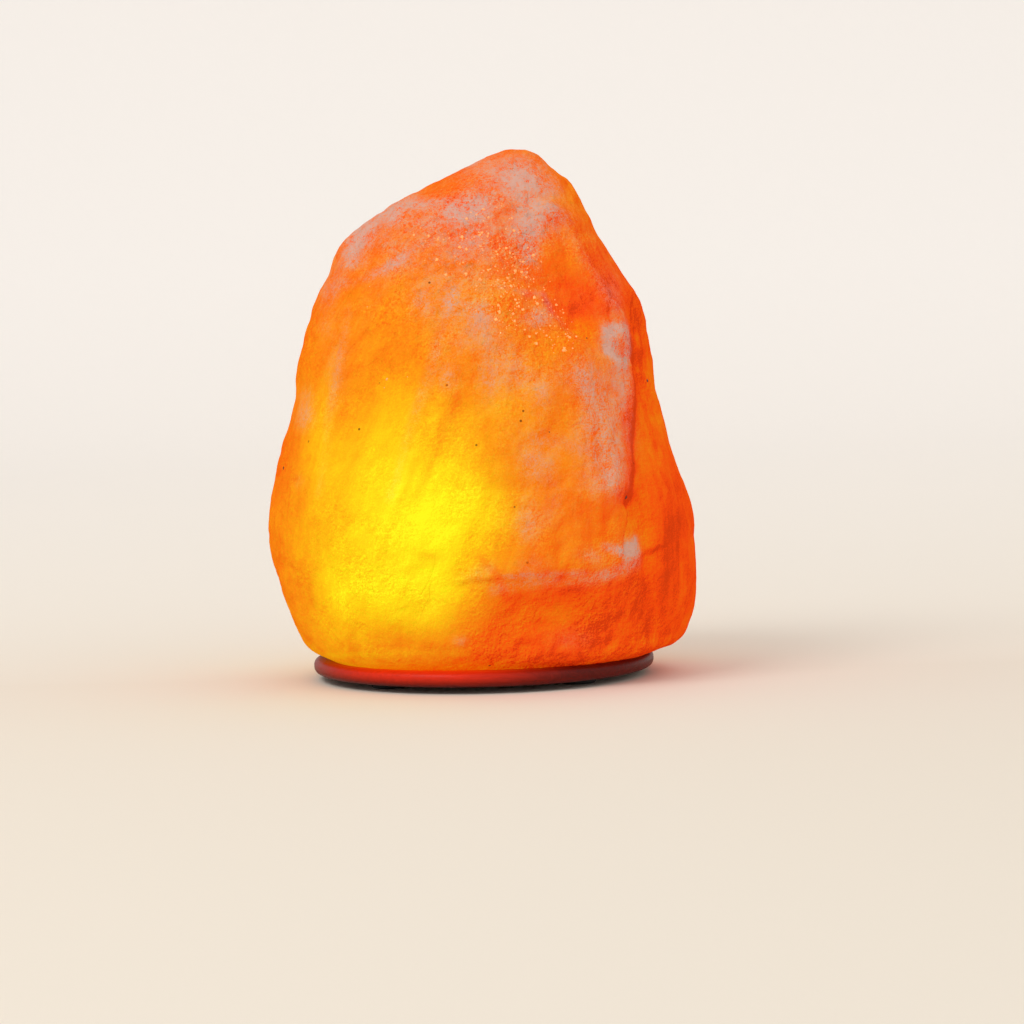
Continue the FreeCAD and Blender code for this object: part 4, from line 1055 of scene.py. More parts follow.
class Recipe:
    """A geometry node tree whose result is kept as a plain mesh."""

    def __init__(self, name: str) -> None:
        """Starts the tree.

        Args:
            name: its name.
        """
        self.tree = bpy.data.node_groups.new(name, "GeometryNodeTree")
        self.graph = Graph(self.tree)
        self.sockets: Dict[str, str] = {}
        for way in ("INPUT", "OUTPUT"):
            self.tree.interface.new_socket("Geometry", in_out=way, socket_type="NodeSocketGeometry")
        self.start = self.tree.nodes.new("NodeGroupInput")
        self.end = self.tree.nodes.new("NodeGroupOutput")

    def number(self, name: str, default: Union[int, float]) -> Socket:
        """Adds a named input.

        Args:
            name: its name.
            default: its value unless another is given. A whole number makes a whole input.

        Returns:
            Its socket.
        """
        kind = "NodeSocketInt" if isinstance(default, int) else "NodeSocketFloat"
        made = self.tree.interface.new_socket(name, in_out="INPUT", socket_type=kind)
        made.default_value = default
        self.sockets[name] = made.identifier
        return self.start.outputs[name]

    def finish(self, geometry: Socket, material: bpy.types.Material) -> None:
        """Ends the tree in plain geometry.

        Args:
            geometry: the socket of the geometry.
            material: what it is made of.
        """
        real = self.graph.add("GeometryNodeRealizeInstances", {0: geometry}).outputs[0]
        inputs = {"Geometry": real, "Material": material}
        done = self.graph.add("GeometryNodeSetMaterial", inputs).outputs[0]
        self.tree.links.new(done, self.end.inputs[0])

    def bake(self, name: str, carrier: bpy.types.Object, **values: float) -> bpy.types.Mesh:
        """Runs the tree on an object and keeps the result.

        Args:
            name: the new mesh's name.
            carrier: the object whose mesh goes in, and which stays as it was.
            values: the named inputs.

        Returns:
            The result as a mesh.
        """
        modifier = carrier.modifiers.new(self.tree.name, "NODES")
        modifier.node_group = self.tree
        for key, value in values.items():
            modifier[self.sockets[key]] = value
        bpy.context.view_layer.update()
        seen = carrier.evaluated_get(bpy.context.evaluated_depsgraph_get())
        mesh = bpy.data.meshes.new_from_object(seen)
        mesh.name = name
        carrier.modifiers.remove(modifier)
        return mesh


def wire_recipe(material: bpy.types.Material) -> Recipe:
    """A tree that winds a round wire about a path, or runs it along the path for no turns.

    Args:
        material: what the wire is made of.

    Returns:
        The recipe, with the inputs Coil, Wire, Turns, Steps and Sides.
    """
    recipe = Recipe("wound_wire_" + material.name)
    graph = recipe.graph
    coil = recipe.number("Coil", 0.001)
    thick = recipe.number("Wire", 0.0002)
    turns = recipe.number("Turns", 4.0)
    steps = recipe.number("Steps", 100)
    sides = recipe.number("Sides", 8)
    line = graph.add("GeometryNodeMeshToCurve", {0: recipe.start.outputs[0]}).outputs[0]
    line = graph.add("GeometryNodeResampleCurve", {"Curve": line, "Count": steps}).outputs[0]
    share = graph.add("GeometryNodeSplineParameter").outputs["Factor"]
    angle = graph.times(share, turns, 2 * math.pi)
    side = graph.add("GeometryNodeInputNormal").outputs[0]
    ahead = graph.add("GeometryNodeInputTangent").outputs[0]
    other = graph.vector("CROSS_PRODUCT", ahead, side)
    parts = [
        graph.vector("SCALE", way, graph.times(graph.math(function, angle), coil), "Scale")
        for way, function in ((side, "COSINE"), (other, "SINE"))
    ]
    inputs = {"Geometry": line, "Offset": graph.vector("ADD", *parts)}
    wound = graph.add("GeometryNodeSetPosition", inputs).outputs[0]
    ring = graph.add("GeometryNodeCurvePrimitiveCircle", {"Resolution": sides, "Radius": thick})
    inputs = {"Curve": wound, "Profile Curve": ring.outputs[0], "Fill Caps": True}
    recipe.finish(graph.add("GeometryNodeCurveToMesh", inputs).outputs[0], material)
    return recipe


@dataclass(frozen=True)
class Crystal:
    """A kind of crystal that is strewn over the rock.

    Attributes:
        name: its tree's name.
        field: the attribute of the rock that says where it lies thickest.
        round: whether it is a lump in place of a cube.
        tilt: how far it tips, in radians.
        flat: its height as a share of its length.
        density: how many lie on a square metre where that attribute is 1.
        size: about how long a large one is, in millimetres.
        sunk: how deep they sit, as a share of their length.
        seed: picks their places.
    """

    name: str
    field: str
    round: bool
    tilt: float
    flat: float
    density: float
    size: float
    sunk: float
    seed: int

    def draw(self, graph: Graph, seed: int, low: Triple, high: Triple) -> Socket:
        """Draws a vector for each point.

        Args:
            graph: the tree's graph.
            seed: picks the draws.
            low, high: what they lie between.

        Returns:
            The socket of the vector.
        """
        made = graph.add("FunctionNodeRandomValue", {"Seed": seed}, data_type="FLOAT_VECTOR")
        made.inputs[0].default_value, made.inputs[1].default_value = low, high
        return made.outputs[0]

    def recipe(self, material: bpy.types.Material) -> Recipe:
        """A tree that strews crystals.

        Args:
            material: what they are made of.

        Returns:
            The recipe, with the inputs Density, Size, Sunk and Seed.
        """
        recipe = Recipe(self.name)
        graph = recipe.graph
        density = recipe.number("Density", 1.0)
        size = recipe.number("Size", 0.001)
        sunk = recipe.number("Sunk", 0.3)
        seed = recipe.number("Seed", 1)
        wanted = graph.add("GeometryNodeInputNamedAttribute", {"Name": self.field}, data_type="FLOAT")
        amount = graph.times(wanted.outputs[0], density)
        inputs = {"Mesh": recipe.start.outputs[0], "Density": amount, "Seed": seed}
        strewn = graph.add("GeometryNodeDistributePointsOnFaces", inputs)
        if self.round:
            lump = graph.add("GeometryNodeMeshIcoSphere", {"Radius": 0.5, "Subdivisions": 2})
        else:
            cube = graph.add("GeometryNodeMeshCube", {"Size": (1, 1, 1)}).outputs[0]
            lump = graph.add("GeometryNodeSubdivideMesh", {"Mesh": cube, "Level": 1})
        shift = self.draw(graph, 0, (-0.12, -0.12, -0.12), (0.12, 0.12, 0.12))
        lump = graph.add("GeometryNodeSetPosition", {"Geometry": lump.outputs[0], "Offset": shift})
        spin = self.draw(graph, 7, (-self.tilt, -self.tilt, -3.1), (self.tilt, self.tilt, 3.1))
        inputs = {0: strewn.outputs["Rotation"], 1: spin}
        turn = graph.add("FunctionNodeRotateRotation", inputs, rotation_space="LOCAL")
        draw = graph.add("FunctionNodeRandomValue", {"Seed": 3}, data_type="FLOAT").outputs[1]
        small = graph.math("POWER", draw, 3.0)
        scale = graph.times(graph.gather(0.35, (small, 0.9)), size)
        sides = {0: scale, 1: graph.times(scale, 0.85), 2: graph.times(scale, self.flat)}
        shape = graph.add("ShaderNodeCombineXYZ", sides).outputs[0]
        inputs = {"Points": strewn.outputs[0], "Instance": lump.outputs[0], "Scale": shape}
        inputs["Rotation"] = turn.outputs[0]
        placed = graph.add("GeometryNodeInstanceOnPoints", inputs).outputs[0]
        down = graph.add("ShaderNodeCombineXYZ", {2: graph.times(scale, sunk, -1.0)}).outputs[0]
        inputs = {"Instances": placed, "Translation": down, "Local Space": True}
        recipe.finish(graph.add("GeometryNodeTranslateInstances", inputs).outputs[0], material)
        return recipe

    def strew(self, name: str, rock: bpy.types.Object, material: bpy.types.Material) -> bpy.types.Mesh:
        """Strews crystals over the rock.

        Args:
            name: the new mesh's name.
            rock: the rock.
            material: what the crystals are made of.

        Returns:
            The mesh of all of them.
        """
        values = {"Density": self.density, "Size": self.size * MM, "Sunk": self.sunk}
        return self.recipe(material).bake(name, rock, Seed=self.seed, **values)


SALT_CUBE = Crystal("salt_cubes", "glint", False, 1.2, 0.7, 210000.0, 0.9, 0.35, 4)
CLAY_LUMP = Crystal("clay_lumps", "clay", True, 0.35, 0.45, 2400.0, 1.4, 0.12, 9)


# ---- The rock ----


@dataclass(frozen=True)
class RockForm:
    """The rock's form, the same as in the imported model.

    Attributes:
        seat: height of its underside.
        height: underside to peak.
        reach: lamp axis to its left, right, front and back.
        squareness: 2 for oval sections, more for squarer ones.
        swell_fade: share of the height below the peak over which the swells die away.
        break_reach: how far across a break reaches.
        break_wear: how far its edge is worn.
        fade: shares of the height over which all of it dies away at the foot and the peak.
        near: degrees, and share of the height, to the points that give an outward direction.
    """

    seat: float = 8.5
    height: float = 200.0
    reach: Tuple[float, float, float, float] = (83.6, 85.4, 75.5, 78.4)
    squareness: float = 2.3
    swell_fade: float = 0.55
    break_reach: float = 45.0
    break_wear: float = 2.4
    fade: Spot = (0.05, 0.04)
    near: Spot = (0.5, 0.004)

    # Share of the height, then the left, right, front and back as shares of reach.
    OUTLINE = (
        (0.000, 0.730, 0.775, 0.800, 0.800), (0.020, 0.825, 0.905, 0.870, 0.865),
        (0.060, 0.900, 0.952, 0.925, 0.920), (0.130, 0.968, 0.998, 0.975, 0.970),
        (0.240, 0.998, 1.006, 1.000, 1.000), (0.320, 1.000, 0.969, 0.990, 0.985),
        (0.420, 0.952, 0.896, 0.940, 0.945), (0.520, 0.876, 0.842, 0.870, 0.890),
        (0.590, 0.880, 0.827, 0.815, 0.850), (0.680, 0.803, 0.802, 0.725, 0.770),
        (0.760, 0.698, 0.682, 0.620, 0.680), (0.830, 0.618, 0.580, 0.505, 0.575),
        (0.880, 0.430, 0.526, 0.405, 0.480), (0.930, 0.228, 0.463, 0.300, 0.375),
        (0.970, 0.026, 0.362, 0.195, 0.270), (0.990, -0.085, 0.310, 0.120, 0.175),
        (1.000, -0.145, 0.265, 0.065, 0.110),
    )
    # Depth as a share, then angle and half width, then height and half height as shares.
    HOLLOWS = (
        (0.060, -42, 9, 0.30, 0.26), (0.050, -66, 15, 0.09, 0.08), (0.050, -62, 13, 0.70, 0.11),
        (-0.020, -52, 9, 0.52, 0.14), (-0.020, -75, 20, 0.20, 0.05), (0.025, -125, 14, 0.66, 0.16),
        (0.030, 60, 14, 0.34, 0.20), (0.035, 118, 16, 0.58, 0.18), (-0.020, 150, 12, 0.36, 0.16),
    )
    # Height, waves round, waves up, phase in degrees.
    SWELLS = (
        (0.60, 3, 1.6, 20), (0.50, 5, -2.3, 140), (0.45, 8, 3.1, 75), (0.40, 11, -4.2, 200),
        (0.35, 14, 5.5, 310),
    )
    # Angle and share of the height, slopes aside and up, depth.
    BREAKS = (
        (24, 0.16, 0.10, -0.05, 2.6), (30, 0.50, -0.12, 0.10, 2.8), (40, 0.78, 0.10, 0.08, 2.6),
        (52, 0.28, 0.08, 0.12, 3.0), (66, 0.62, -0.10, -0.08, 2.8), (74, 0.10, 0.05, -0.10, 2.4),
        (84, 0.42, 0.12, 0.05, 3.2), (92, 0.84, -0.08, 0.10, 2.8), (103, 0.22, -0.12, 0.08, 2.6),
        (112, 0.64, 0.10, -0.05, 3.2), (127, 0.40, -0.10, 0.10, 3.0), (136, 0.12, 0.08, -0.08, 2.6),
        (146, 0.72, 0.12, 0.06, 2.8), (154, 0.27, -0.10, -0.06, 2.8), (160, 0.52, 0.08, 0.08, 2.2),
        (-150, 0.14, 0.10, -0.08, 1.8), (-154, 0.36, -0.12, 0.06, 1.8), (-146, 0.80, 0.10, 0.05, 1.6),
        (-26, 0.60, 0.10, 0.08, 1.6), (-24, 0.18, -0.10, 0.06, 1.8),
    )
    CREASE = ((59, 67), (61, 79), (63, 106), (64, 132))
    SCOOP = ((54, 126), (47, 129), (38, 136), (31, 145), (27, 153), (19, 153), (10, 155))
    LEDGE = ((5, 38), (11, 38.5), (25, 39), (41, 39.6), (54, 42), (64, 46))
    UPPER = ((29, 186), (37, 180), (42, 168), (50, 155), (62, 138), (67, 130))
    LEFT = ((-50, 150), (-53, 141), (-55, 122), (-60, 101), (-62, 82), (-63, 66))
    SHOULDER = ((-24, 190), (-40, 183), (-50, 171), (-56, 157), (-60, 141))
    FRONT = make_marks(
        Step(CREASE, 2.0, 12, 2.4), Step(SCOOP, 2.0, 10, 3.0), Step(LEDGE, 1.1, 10, 2.5),
        Line(((59, 67), (65, 58), (66, 42), (70, 22), (70, 9)), 3.2, -2.0), Line(UPPER, 3.6, 1.8),
        Line(LEFT, 4.5, 1.2), Line(SHOULDER, 4.0, 1.2),
        Line(((-1, 150), (-6, 131), (-12, 113), (-21, 94), (-29, 75), (-40, 60)), 6.0, 0.9),
        Line(((-30, 184), (-16, 185), (-4, 183), (5, 174), (9, 158)), 4.5, 1.0),
        Line(((57, 131), (58, 111), (55, 93), (53, 73)), 5.0, 1.6),
        Line(((5, 36), (25, 37), (41, 37.6), (54, 40), (64, 44)), 4.5, 0.9),
        Line(((6, 72), (-2, 56), (-8, 40)), 3.5, -0.7), (42, 145, 9, 13, -2.4, 35),
        (58, 156, 9, 18, -1.4, 30), (33, 22, 26, 9, -2.4, 4), (31, 184, 6, 4, 1.6),
        (57, 134, 5.5, 5.5, 2.2), (-48, 169, 5, 4, 1.4), (60, 47, 5, 4.5, 1.3),
        (-69, 104, 6, 5, 1.0), (-38, 118, 12, 16, -1.0),
    )

    def sides(self, share: np.ndarray) -> np.ndarray:
        """The four sides, on a smooth curve through the outline.

        Args:
            share: shares of the height.

        Returns:
            Left, right, front and back for each, in millimetres.
        """
        table = np.array(self.OUTLINE)
        knots, values = table[:, 0], table[:, 1:] * np.array(self.reach)
        ends = np.arange(len(knots))
        before, after = np.maximum(ends - 1, 0), np.minimum(ends + 1, len(knots) - 1)
        slopes = (values[after] - values[before]) / (knots[after] - knots[before])[:, None]
        index = np.clip(np.searchsorted(knots, share) - 1, 0, len(knots) - 2)
        span = (knots[index + 1] - knots[index])[..., None]
        t = (share - knots[index])[..., None] / span
        return (
            (2 * t**3 - 3 * t**2 + 1) * values[index]
            + (t**3 - 2 * t**2 + t) * slopes[index] * span
            + (3 * t**2 - 2 * t**3) * values[index + 1]
            + (t**3 - t**2) * slopes[index + 1] * span
        )

    def outline(self, angle: np.ndarray, share: np.ndarray) -> np.ndarray:
        """Points of the smooth outline.

        Args:
            angle: degrees round the lamp.
            share: shares of the height, one for each angle.

        Returns:
            X, Y and Z of each.
        """
        turn = np.radians(angle)
        across, along = np.cos(turn), np.sin(turn)
        power = self.squareness
        corner = (np.abs(across) ** power + np.abs(along) ** power) ** (-1 / power)
        for deep, middle, half, level, half_level in self.HOLLOWS:
            away = (angle - middle + 180) % 360 - 180
            corner = corner * (1 - deep * bell(away, half) * bell(share - level, half_level))
        left, right, front, back = np.moveaxis(self.sides(share), -1, 0)
        x = (right - left) / 2 + (right + left) / 2 * corner * across
        y = (back - front) / 2 + (back + front) / 2 * corner * along
        return np.stack((x, y, self.seat + share * self.height), axis=-1)

    def outward(self, angle: np.ndarray, share: np.ndarray) -> np.ndarray:
        """Outward directions of the smooth outline.

        Args:
            angle, share: as outline takes them.

        Returns:
            A unit vector for each.
        """
        aside, above = self.near
        around = self.outline(angle + aside, share) - self.outline(angle - aside, share)
        low, high = np.maximum(share - above, 0), np.minimum(share + above, 1)
        found = np.cross(around, self.outline(angle, high) - self.outline(angle, low))
        return found / np.linalg.norm(found, axis=-1)[..., None]

    def surface(self, angle: np.ndarray, share: np.ndarray) -> np.ndarray:
        """The rock's surface.

        Args:
            angle, share: as outline takes them.

        Returns:
            X, Y and Z of each point.
        """
        points, out = self.outline(angle, share), self.outward(angle, share)
        height = np.zeros(share.shape)
        for rise, round_it, up_it, phase in self.SWELLS:
            height += rise * np.sin(np.radians(round_it * angle + 360 * up_it * share + phase))
        height *= smooth_step(0, self.swell_fade, 1 - share)
        facing = smooth_step(0, 1, 0.3 - 2 * np.sin(np.radians(angle)))
        height += total(self.FRONT, PICTURE.seen(points)) * facing
        foot, peak = self.fade
        fade = smooth_step(0, foot, share) * smooth_step(0, peak, 1 - share)
        moved = points + out * (height * fade)[..., None]
        for turn, level, aside, up, depth in self.BREAKS:
            spot = np.array(float(turn)), np.array(level)
            middle, way = self.outline(*spot), self.outward(*spot)
            start = middle - way * depth
            sideways = np.array((-math.sin(math.radians(turn)), math.cos(math.radians(turn)), 0))
            way = way + sideways * aside + np.array((0, 0, up))
            way /= np.linalg.norm(way)
            proud = (moved - start) @ way
            over = (proud + np.hypot(proud, self.break_wear)) / 2
            near = bell(np.linalg.norm(moved - start, axis=-1), self.break_reach)
            moved = moved - way * (over * near * fade)[..., None]
        return moved


@dataclass(frozen=True)
class Skin:
    """The rock's outside before its fine relief, as arrays of rows by columns.

    Attributes:
        points: the form.
        out: outward directions of the smooth outline.
        spots: where the camera sees that outline.
        facing: how much of the front's marks each point takes, from 0 to 1.
    """

    points: np.ndarray
    out: np.ndarray
    spots: np.ndarray
    facing: np.ndarray

    def marked(self, marks: Marks) -> np.ndarray:
        """The strength of marks on the front, and 0 on the back."""
        return self.facing * total(marks, self.spots)

    def blend(self, front: np.ndarray, back: np.ndarray) -> np.ndarray:
        """One array on the front and another on the back."""
        return self.facing * front + (1 - self.facing) * back


@dataclass
class SaltRock:
    """The rock of salt: its fine relief, the hole in it, the light in it and the grains on it.

    Attributes:
        form: its form.
        bore_radius, bore_deep, bore_tip: the hole drilled from below.
        bore_flat: share of the radius over which its tip is flat.
        bore_rough: how rough its wall is.
        bore_rows: steps up its wall.
        bulb: height of the bulb's middle.
        most: how far the fine relief may stand off the form.
        above: the way to the light above, from the upper left.
        columns, rows: steps round the rock and up its outside.
        samples: steps up its outline that the rows are spaced by.
    """

    form: RockForm = RockForm()
    bore_radius: float = 22.0
    bore_deep: float = 116.0
    bore_tip: float = 9.0
    bore_flat: float = 0.25
    bore_rough: float = 0.15
    bore_rows: int = 13
    bulb: float = 84.0
    most: float = 0.9
    above: Triple = (-0.55, -0.3, 0.78)
    columns: int = 440
    rows: int = 196
    samples: int = 1200

    # Rings that close the top, as shares of its edge, and how much of the relief each takes.
    TOP = (0.84, 0.66, 0.48, 0.30, 0.14)
    TOP_RELIEF = (0.8, 0.6, 0.4, 0.2, 0.1)
    # Rings of the hole's tip, as shares of its radius, and of the underside, of the way out.
    TIP = (0.08, 0.25, 0.6, 1.0)
    UNDER = (0.3, 0.6, 0.85)
    # Where the skin is frosty, as the camera sees the front.
    PALE = make_marks(
        (17, 201, 9, 6, 1.0), (21, 195, 6, 7, 0.6), (-6, 186, 8, 4, 0.95), (-20, 188, 6, 3, 0.4),
        (-31, 183, 5, 3.5, 0.4), (-44, 177, 9, 4, 0.42, 42), (-48, 167, 4.5, 3.5, 0.40),
        Line(((-52, 158), (-40, 162), (-28, 168), (-20, 174)), 2.2, 0.35),
        (31, 184, 6.5, 3.2, 0.8, -20), (22, 176, 6, 9, 0.5), (-2, 174, 8, 8, 0.16),
        (28, 179, 6, 5, 0.50), (-17, 180, 9, 4, 0.42), (4, 189, 6, 4, 0.30), (0, 195, 6, 4, 0.26),
        (-34, 175, 7, 5, 0.28), (-21, 150, 5, 5, 0.20), (29, 195, 4, 6, 0.28),
        (33, 193, 4, 5, 0.22), (34, 173, 4, 5, 0.24), (-26, 167, 6, 5, 0.20),
        (-58, 156, 5, 6, 0.20), (-5, 154, 6, 6, 0.12), (-70, 112, 4, 6, 0.22), (42, 97, 5, 6, 0.20),
        (56, 151, 6, 9, 0.16), (22, 165, 5, 5, 0.38), (-5, 133, 5, 6, 0.26), (1, 157, 6, 5, 0.12),
        (-10, 150, 4, 6, 0.3), (0, 144, 7, 6, 0.34), (-16, 145, 6, 5, 0.12), (7, 119, 7, 8, 0.34),
        (32, 118, 7, 7, 0.12), (-11, 120, 5, 6, 0.26), (24, 142, 7, 4, 0.28), (40, 121, 5, 6, 0.26),
        (22, 84, 6, 8, 0.24), Line(((4, 140), (10, 130), (17, 119), (24, 112)), 6.5, 0.30),
        Line(((53, 137), (60, 137), (62, 129), (57, 123), (53, 128), (53, 137)), 2.2, 0.65),
        Line(((55, 133), (56, 112), (54, 94), (51, 84), (51, 76)), 7.0, 0.31),
        (47, 100, 5, 16, 0.16), (12, 197, 7, 5, 0.42), (2, 202, 12, 5, 0.25), (43, 115, 6, 9, 0.36),
        (42, 81, 5, 6, 0.08), (44, 46, 6, 3, 0.20),
        Line(((33, 92), (28, 80), (31, 70), (26, 60)), 3.0, 0.10),
        Line(((24, 94), (33, 92), (44, 88)), 3.0, 0.22), (22, 104, 9, 14, 0.09),
        (59, 47, 4, 5, 0.62), Line(((50, 50), (58, 47), (62, 53)), 1.6, 0.42),
        (-69, 104, 5, 5, 0.34), (-73, 79, 3, 3, 0.15), (-58, 132, 6, 18, 0.14),
        (67, 128, 4, 13, -0.30), Line(((-52, 150), (-54, 128), (-60, 100), (-64, 74)), 2.2, 0.12),
        Line(((-10, 148), (-16, 130), (-24, 108), (-36, 72)), 2.5, 0.12), (3, 41, 5, 4, 0.14),
        (-4, 39, 5, 4, 0.20), (21, 43, 7, 4, 0.20), (19, 60, 5, 8, 0.22),
        Line(((9, 39), (25, 39.4), (41, 40.4)), 1.1, 0.42),
        Line(((5, 34), (25, 36), (41, 37), (54, 40), (62, 43)), 2.8, 0.34),
        Line(RockForm.UPPER, 2.0, 0.14), Line(RockForm.SCOOP, 1.6, 0.12),
        Line(RockForm.SHOULDER, 3.5, 0.15), (-6, 172, 42, 28, 0.20), (28, 92, 26, 52, 0.08),
        (44, 137, 6, 5, -0.12), (35, 13, 9, 4, 0.10), (-9, 14, 3, 2, 0.20),
    )
    # How much of the bulb's light comes through there.
    # Its dark lines and blobs along the crease, under the ledge, at the scoop's edge and in the sunk
    # facets right of the upper ridge are painted shade.
    GLOW_AND_PAINTED_SHADE = make_marks(
        (-18, 60, 18, 26, 0.32, -8), (-22, 80, 30, 40, 0.38, -6), (-52, 50, 22, 44, 0.36),
        (-30, 33, 26, 13, 0.30), (4, 64, 14, 16, 0.24), (-38, 100, 18, 30, 0.16),
        (22, 110, 26, 36, 0.10), (80, 60, 15, 60, -0.17), (85, 38, 8, 26, -0.03),
        (44, 146, 9, 14, -0.18, 35), (57, 157, 9, 20, -0.12, 30),
        Line(((14, 31), (30, 32.5), (46, 33), (62, 36)), 2.0, -0.05), (40, 32, 34, 7, -0.12, 4),
        (31, 22, 11, 4, 0.10), (36, 20, 26, 6, -0.14), (64, 22, 12, 14, -0.14),
        (-13, 48, 11, 18, 0.14), (-64, 46, 10, 22, 0.11), (-31, 56, 9, 10, 0.05),
        (20, 34, 12, 4, 0.13), (67, 129, 4, 15, -0.26), (-75, 60, 5, 14, 0.12),
        (64, 13, 7, 6, -0.08), (40, 8, 34, 9, -0.30), (-64, 94, 9, 22, 0.22),
        (-24, 22, 18, 8, 0.15), (54, 66, 4, 10, -0.04), (58, 92, 7, 34, -0.11),
        (-8, 150, 20, 14, 0.11), (-60, 35, 12, 16, 0.10), Line(RockForm.CREASE, 1.5, -0.10),
        Line(((-8, 112), (-16, 92), (-26, 72)), 2.0, -0.10),
        Line(((-20, 100), (-29, 78), (-34, 62)), 1.6, -0.07),
        Line(((20, 152), (27, 152), (31, 145)), 1.6, -0.14), (-21, 48, 5, 1.6, -0.16, -12),
        (-50, 146, 24, 24, 0.06), (-14, 35, 8, 6, 0.10), (0, 70, 7, 9, 0.10),
        (-60, 112, 8, 16, 0.05), Line(((-2, 48), (6, 40), (10, 30)), 2.0, -0.12),
        Line(((-62, 9.5), (-30, 9), (-6, 9)), 1.6, 0.10),
    )
    SPECKS = make_marks(
        (-26, 131, 1.1, 1.1, 0.9), (45, 107, 1.1, 0.9, 0.8), (36, 50, 1.6, 1.0, 0.9, 30),
        (63, 35, 1.5, 1.2, 0.9), (-64, 24, 1.2, 1.1, 0.8), (20, 20, 1.6, 0.8, 0.5, 20),
        (10, 48, 1.4, 0.9, 0.7, 40), (24, 56, 2.0, 0.7, 0.6, 35), (57, 69, 0.9, 2.4, 0.5),
    )
    GLINTS = make_marks(
        (18, 149, 14, 11, 1.0), (32, 134, 9, 8, 1.0), (-8, 172, 22, 12, 0.45),
        (12, 160, 12, 14, 0.5), (-44, 152, 8, 14, 0.25), (-32, 121, 9, 7, 0.3),
        (-8, 108, 7, 12, 0.2), (8, 186, 16, 9, 0.25),
    )
    SMOOTH = make_marks(
        (80, 62, 15, 52, 1.0), (44, 147, 9, 14, 0.9, 35), (58, 158, 8, 20, 0.8, 30),
        (-42, 96, 22, 24, 0.6), (20, 78, 18, 24, 0.35), (-34, 36, 24, 12, -0.9),
        (-6, 70, 10, 12, -0.5), (30, 22, 26, 9, -0.5), (6, 162, 44, 32, -0.7),
    )

    def outside(self) -> Skin:
        """The rock's side and top.

        Returns:
            The skin, before its fine relief.
        """
        fine = np.linspace(0, 1, self.samples)
        mean = self.form.sides(fine).mean(axis=1)
        steps = np.hypot(np.diff(fine) * self.form.height, np.diff(mean))
        length = np.concatenate(([0], np.cumsum(steps)))
        shares = np.interp(np.linspace(0, length[-1], self.rows), length, fine)
        turns = 360 * np.arange(self.columns) / self.columns
        angle, share = np.broadcast_arrays(turns[None], shares[:, None])
        form = self.form.surface(angle, share)
        middle = form[-1].mean(axis=0)
        top = np.array([middle + (form[-1] - middle) * part for part in self.TOP])
        up = np.tile((0.0, 0.0, 1.0), (len(top), self.columns, 1))
        out = np.concatenate((self.form.outward(angle, share), up))
        spots = PICTURE.seen(np.concatenate((self.form.outline(angle, share), top)))
        # The front is what faces the camera, and the top.
        facing = smooth_step(-0.55, -0.05, -out[..., 1] + 0.25 * out[..., 2])
        return Skin(np.concatenate((form, top)), out, spots, facing)

    def inside(self) -> np.ndarray:
        """The drilled hole and the underside, from the hole's tip out to the rock's edge.

        Returns:
            An array of rows by columns by X, Y and Z.
        """
        turns = 2 * math.pi * np.arange(self.columns) / self.columns
        circle = np.stack((np.cos(turns), np.sin(turns), np.zeros_like(turns)), axis=-1)
        top = self.form.seat + self.bore_deep
        rings = []
        for share in self.TIP:
            down = max(0.0, (share - self.bore_flat) / (1 - self.bore_flat))
            height = top + self.bore_tip * (1 - down)
            rings.append(circle * self.bore_radius * share + np.array((0, 0, height)))
        for height in np.linspace(top, self.form.seat, self.bore_rows + 1)[1:]:
            rings.append(circle * self.bore_radius + np.array((0, 0, height)))
        drilled, mouth = len(rings), rings[-1]
        edge = self.form.outline(np.degrees(turns), np.zeros(self.columns))
        rings += [mouth + (edge - mouth) * share for share in self.UNDER]
        inner = np.array(rings)
        wall = Noise(5).fractal(inner[:drilled], 5, 2)[..., None] * self.bore_rough
        inner[:drilled, :, :2] *= 1 + wall / self.bore_radius
        return inner

    def relief(self, skin: Skin) -> np.ndarray:
        """How far the skin stands off the form.

        Args:
            skin: the rock's outside.

        Returns:
            A height for each point, within a millimetre.
        """
        broad, sharp, grain = Noise(11), Noise(23), Noise(47)
        points = skin.points
        rough = 1 - 0.7 * np.clip(skin.marked(self.SMOOTH), 0, 1)
        height = 0.28 * sharp.fractal(points, 24, 3, crests=True)
        height += 0.30 * broad.fractal(points * np.array((1, 1, 0.2)) + 90, 7, 3)
        height += 0.26 * grain.fractal(points, 6.0, 3)
        dents = np.maximum(0, grain.fractal(points + 200, 8.0, 2) - 0.3)
        height = np.clip((height - 1.1 * dents) * rough, -self.most, self.most)
        foot = smooth_step(self.form.seat - 1, self.form.seat + 8, points[..., 2])
        height = height * (0.1 + 0.9 * foot)
        height[-len(self.TOP):] *= np.array(self.TOP_RELIEF)[:, None]
        return height

    def lean(self, moved: np.ndarray, out: np.ndarray) -> np.ndarray:
        """How much more the relief faces a light above and to the left than the outline does.

        Args:
            moved: the surface with its relief.
            out: outward directions of the smooth outline.

        Returns:
            A number from -0.6 to 0.6 for each point.
        """
        across = np.roll(moved, -1, axis=1) - np.roll(moved, 1, axis=1)
        found = np.cross(across, np.gradient(moved, axis=0))
        found /= np.maximum(np.linalg.norm(found, axis=-1), 1e-9)[..., None]
        return np.clip((found - out) @ np.array(self.above), -0.6, 0.6)

    def light(self, skin: Skin) -> np.ndarray:
        """How much of the bulb's light comes through, with painted shade in the creases and hollows of
        the front.

        Args:
            skin: the rock's outside.

        Returns:
            A level from 0.05 to 1 for each point.
        """
        points = skin.points
        turn = np.arctan2(points[..., 1], points[..., 0])
        lobes = 0.16 * np.cos(turn - 2.3) + 0.10 * np.cos(2 * turn + 0.6)
        around = 0.24 + bell(points[..., 2] - 62, 60) * (0.24 + lobes)
        level = skin.blend(0.25 + total(self.GLOW_AND_PAINTED_SHADE, skin.spots), around)
        return np.clip(level + 0.03 * Noise(71).fractal(points, 30, 3), 0.05, 1)

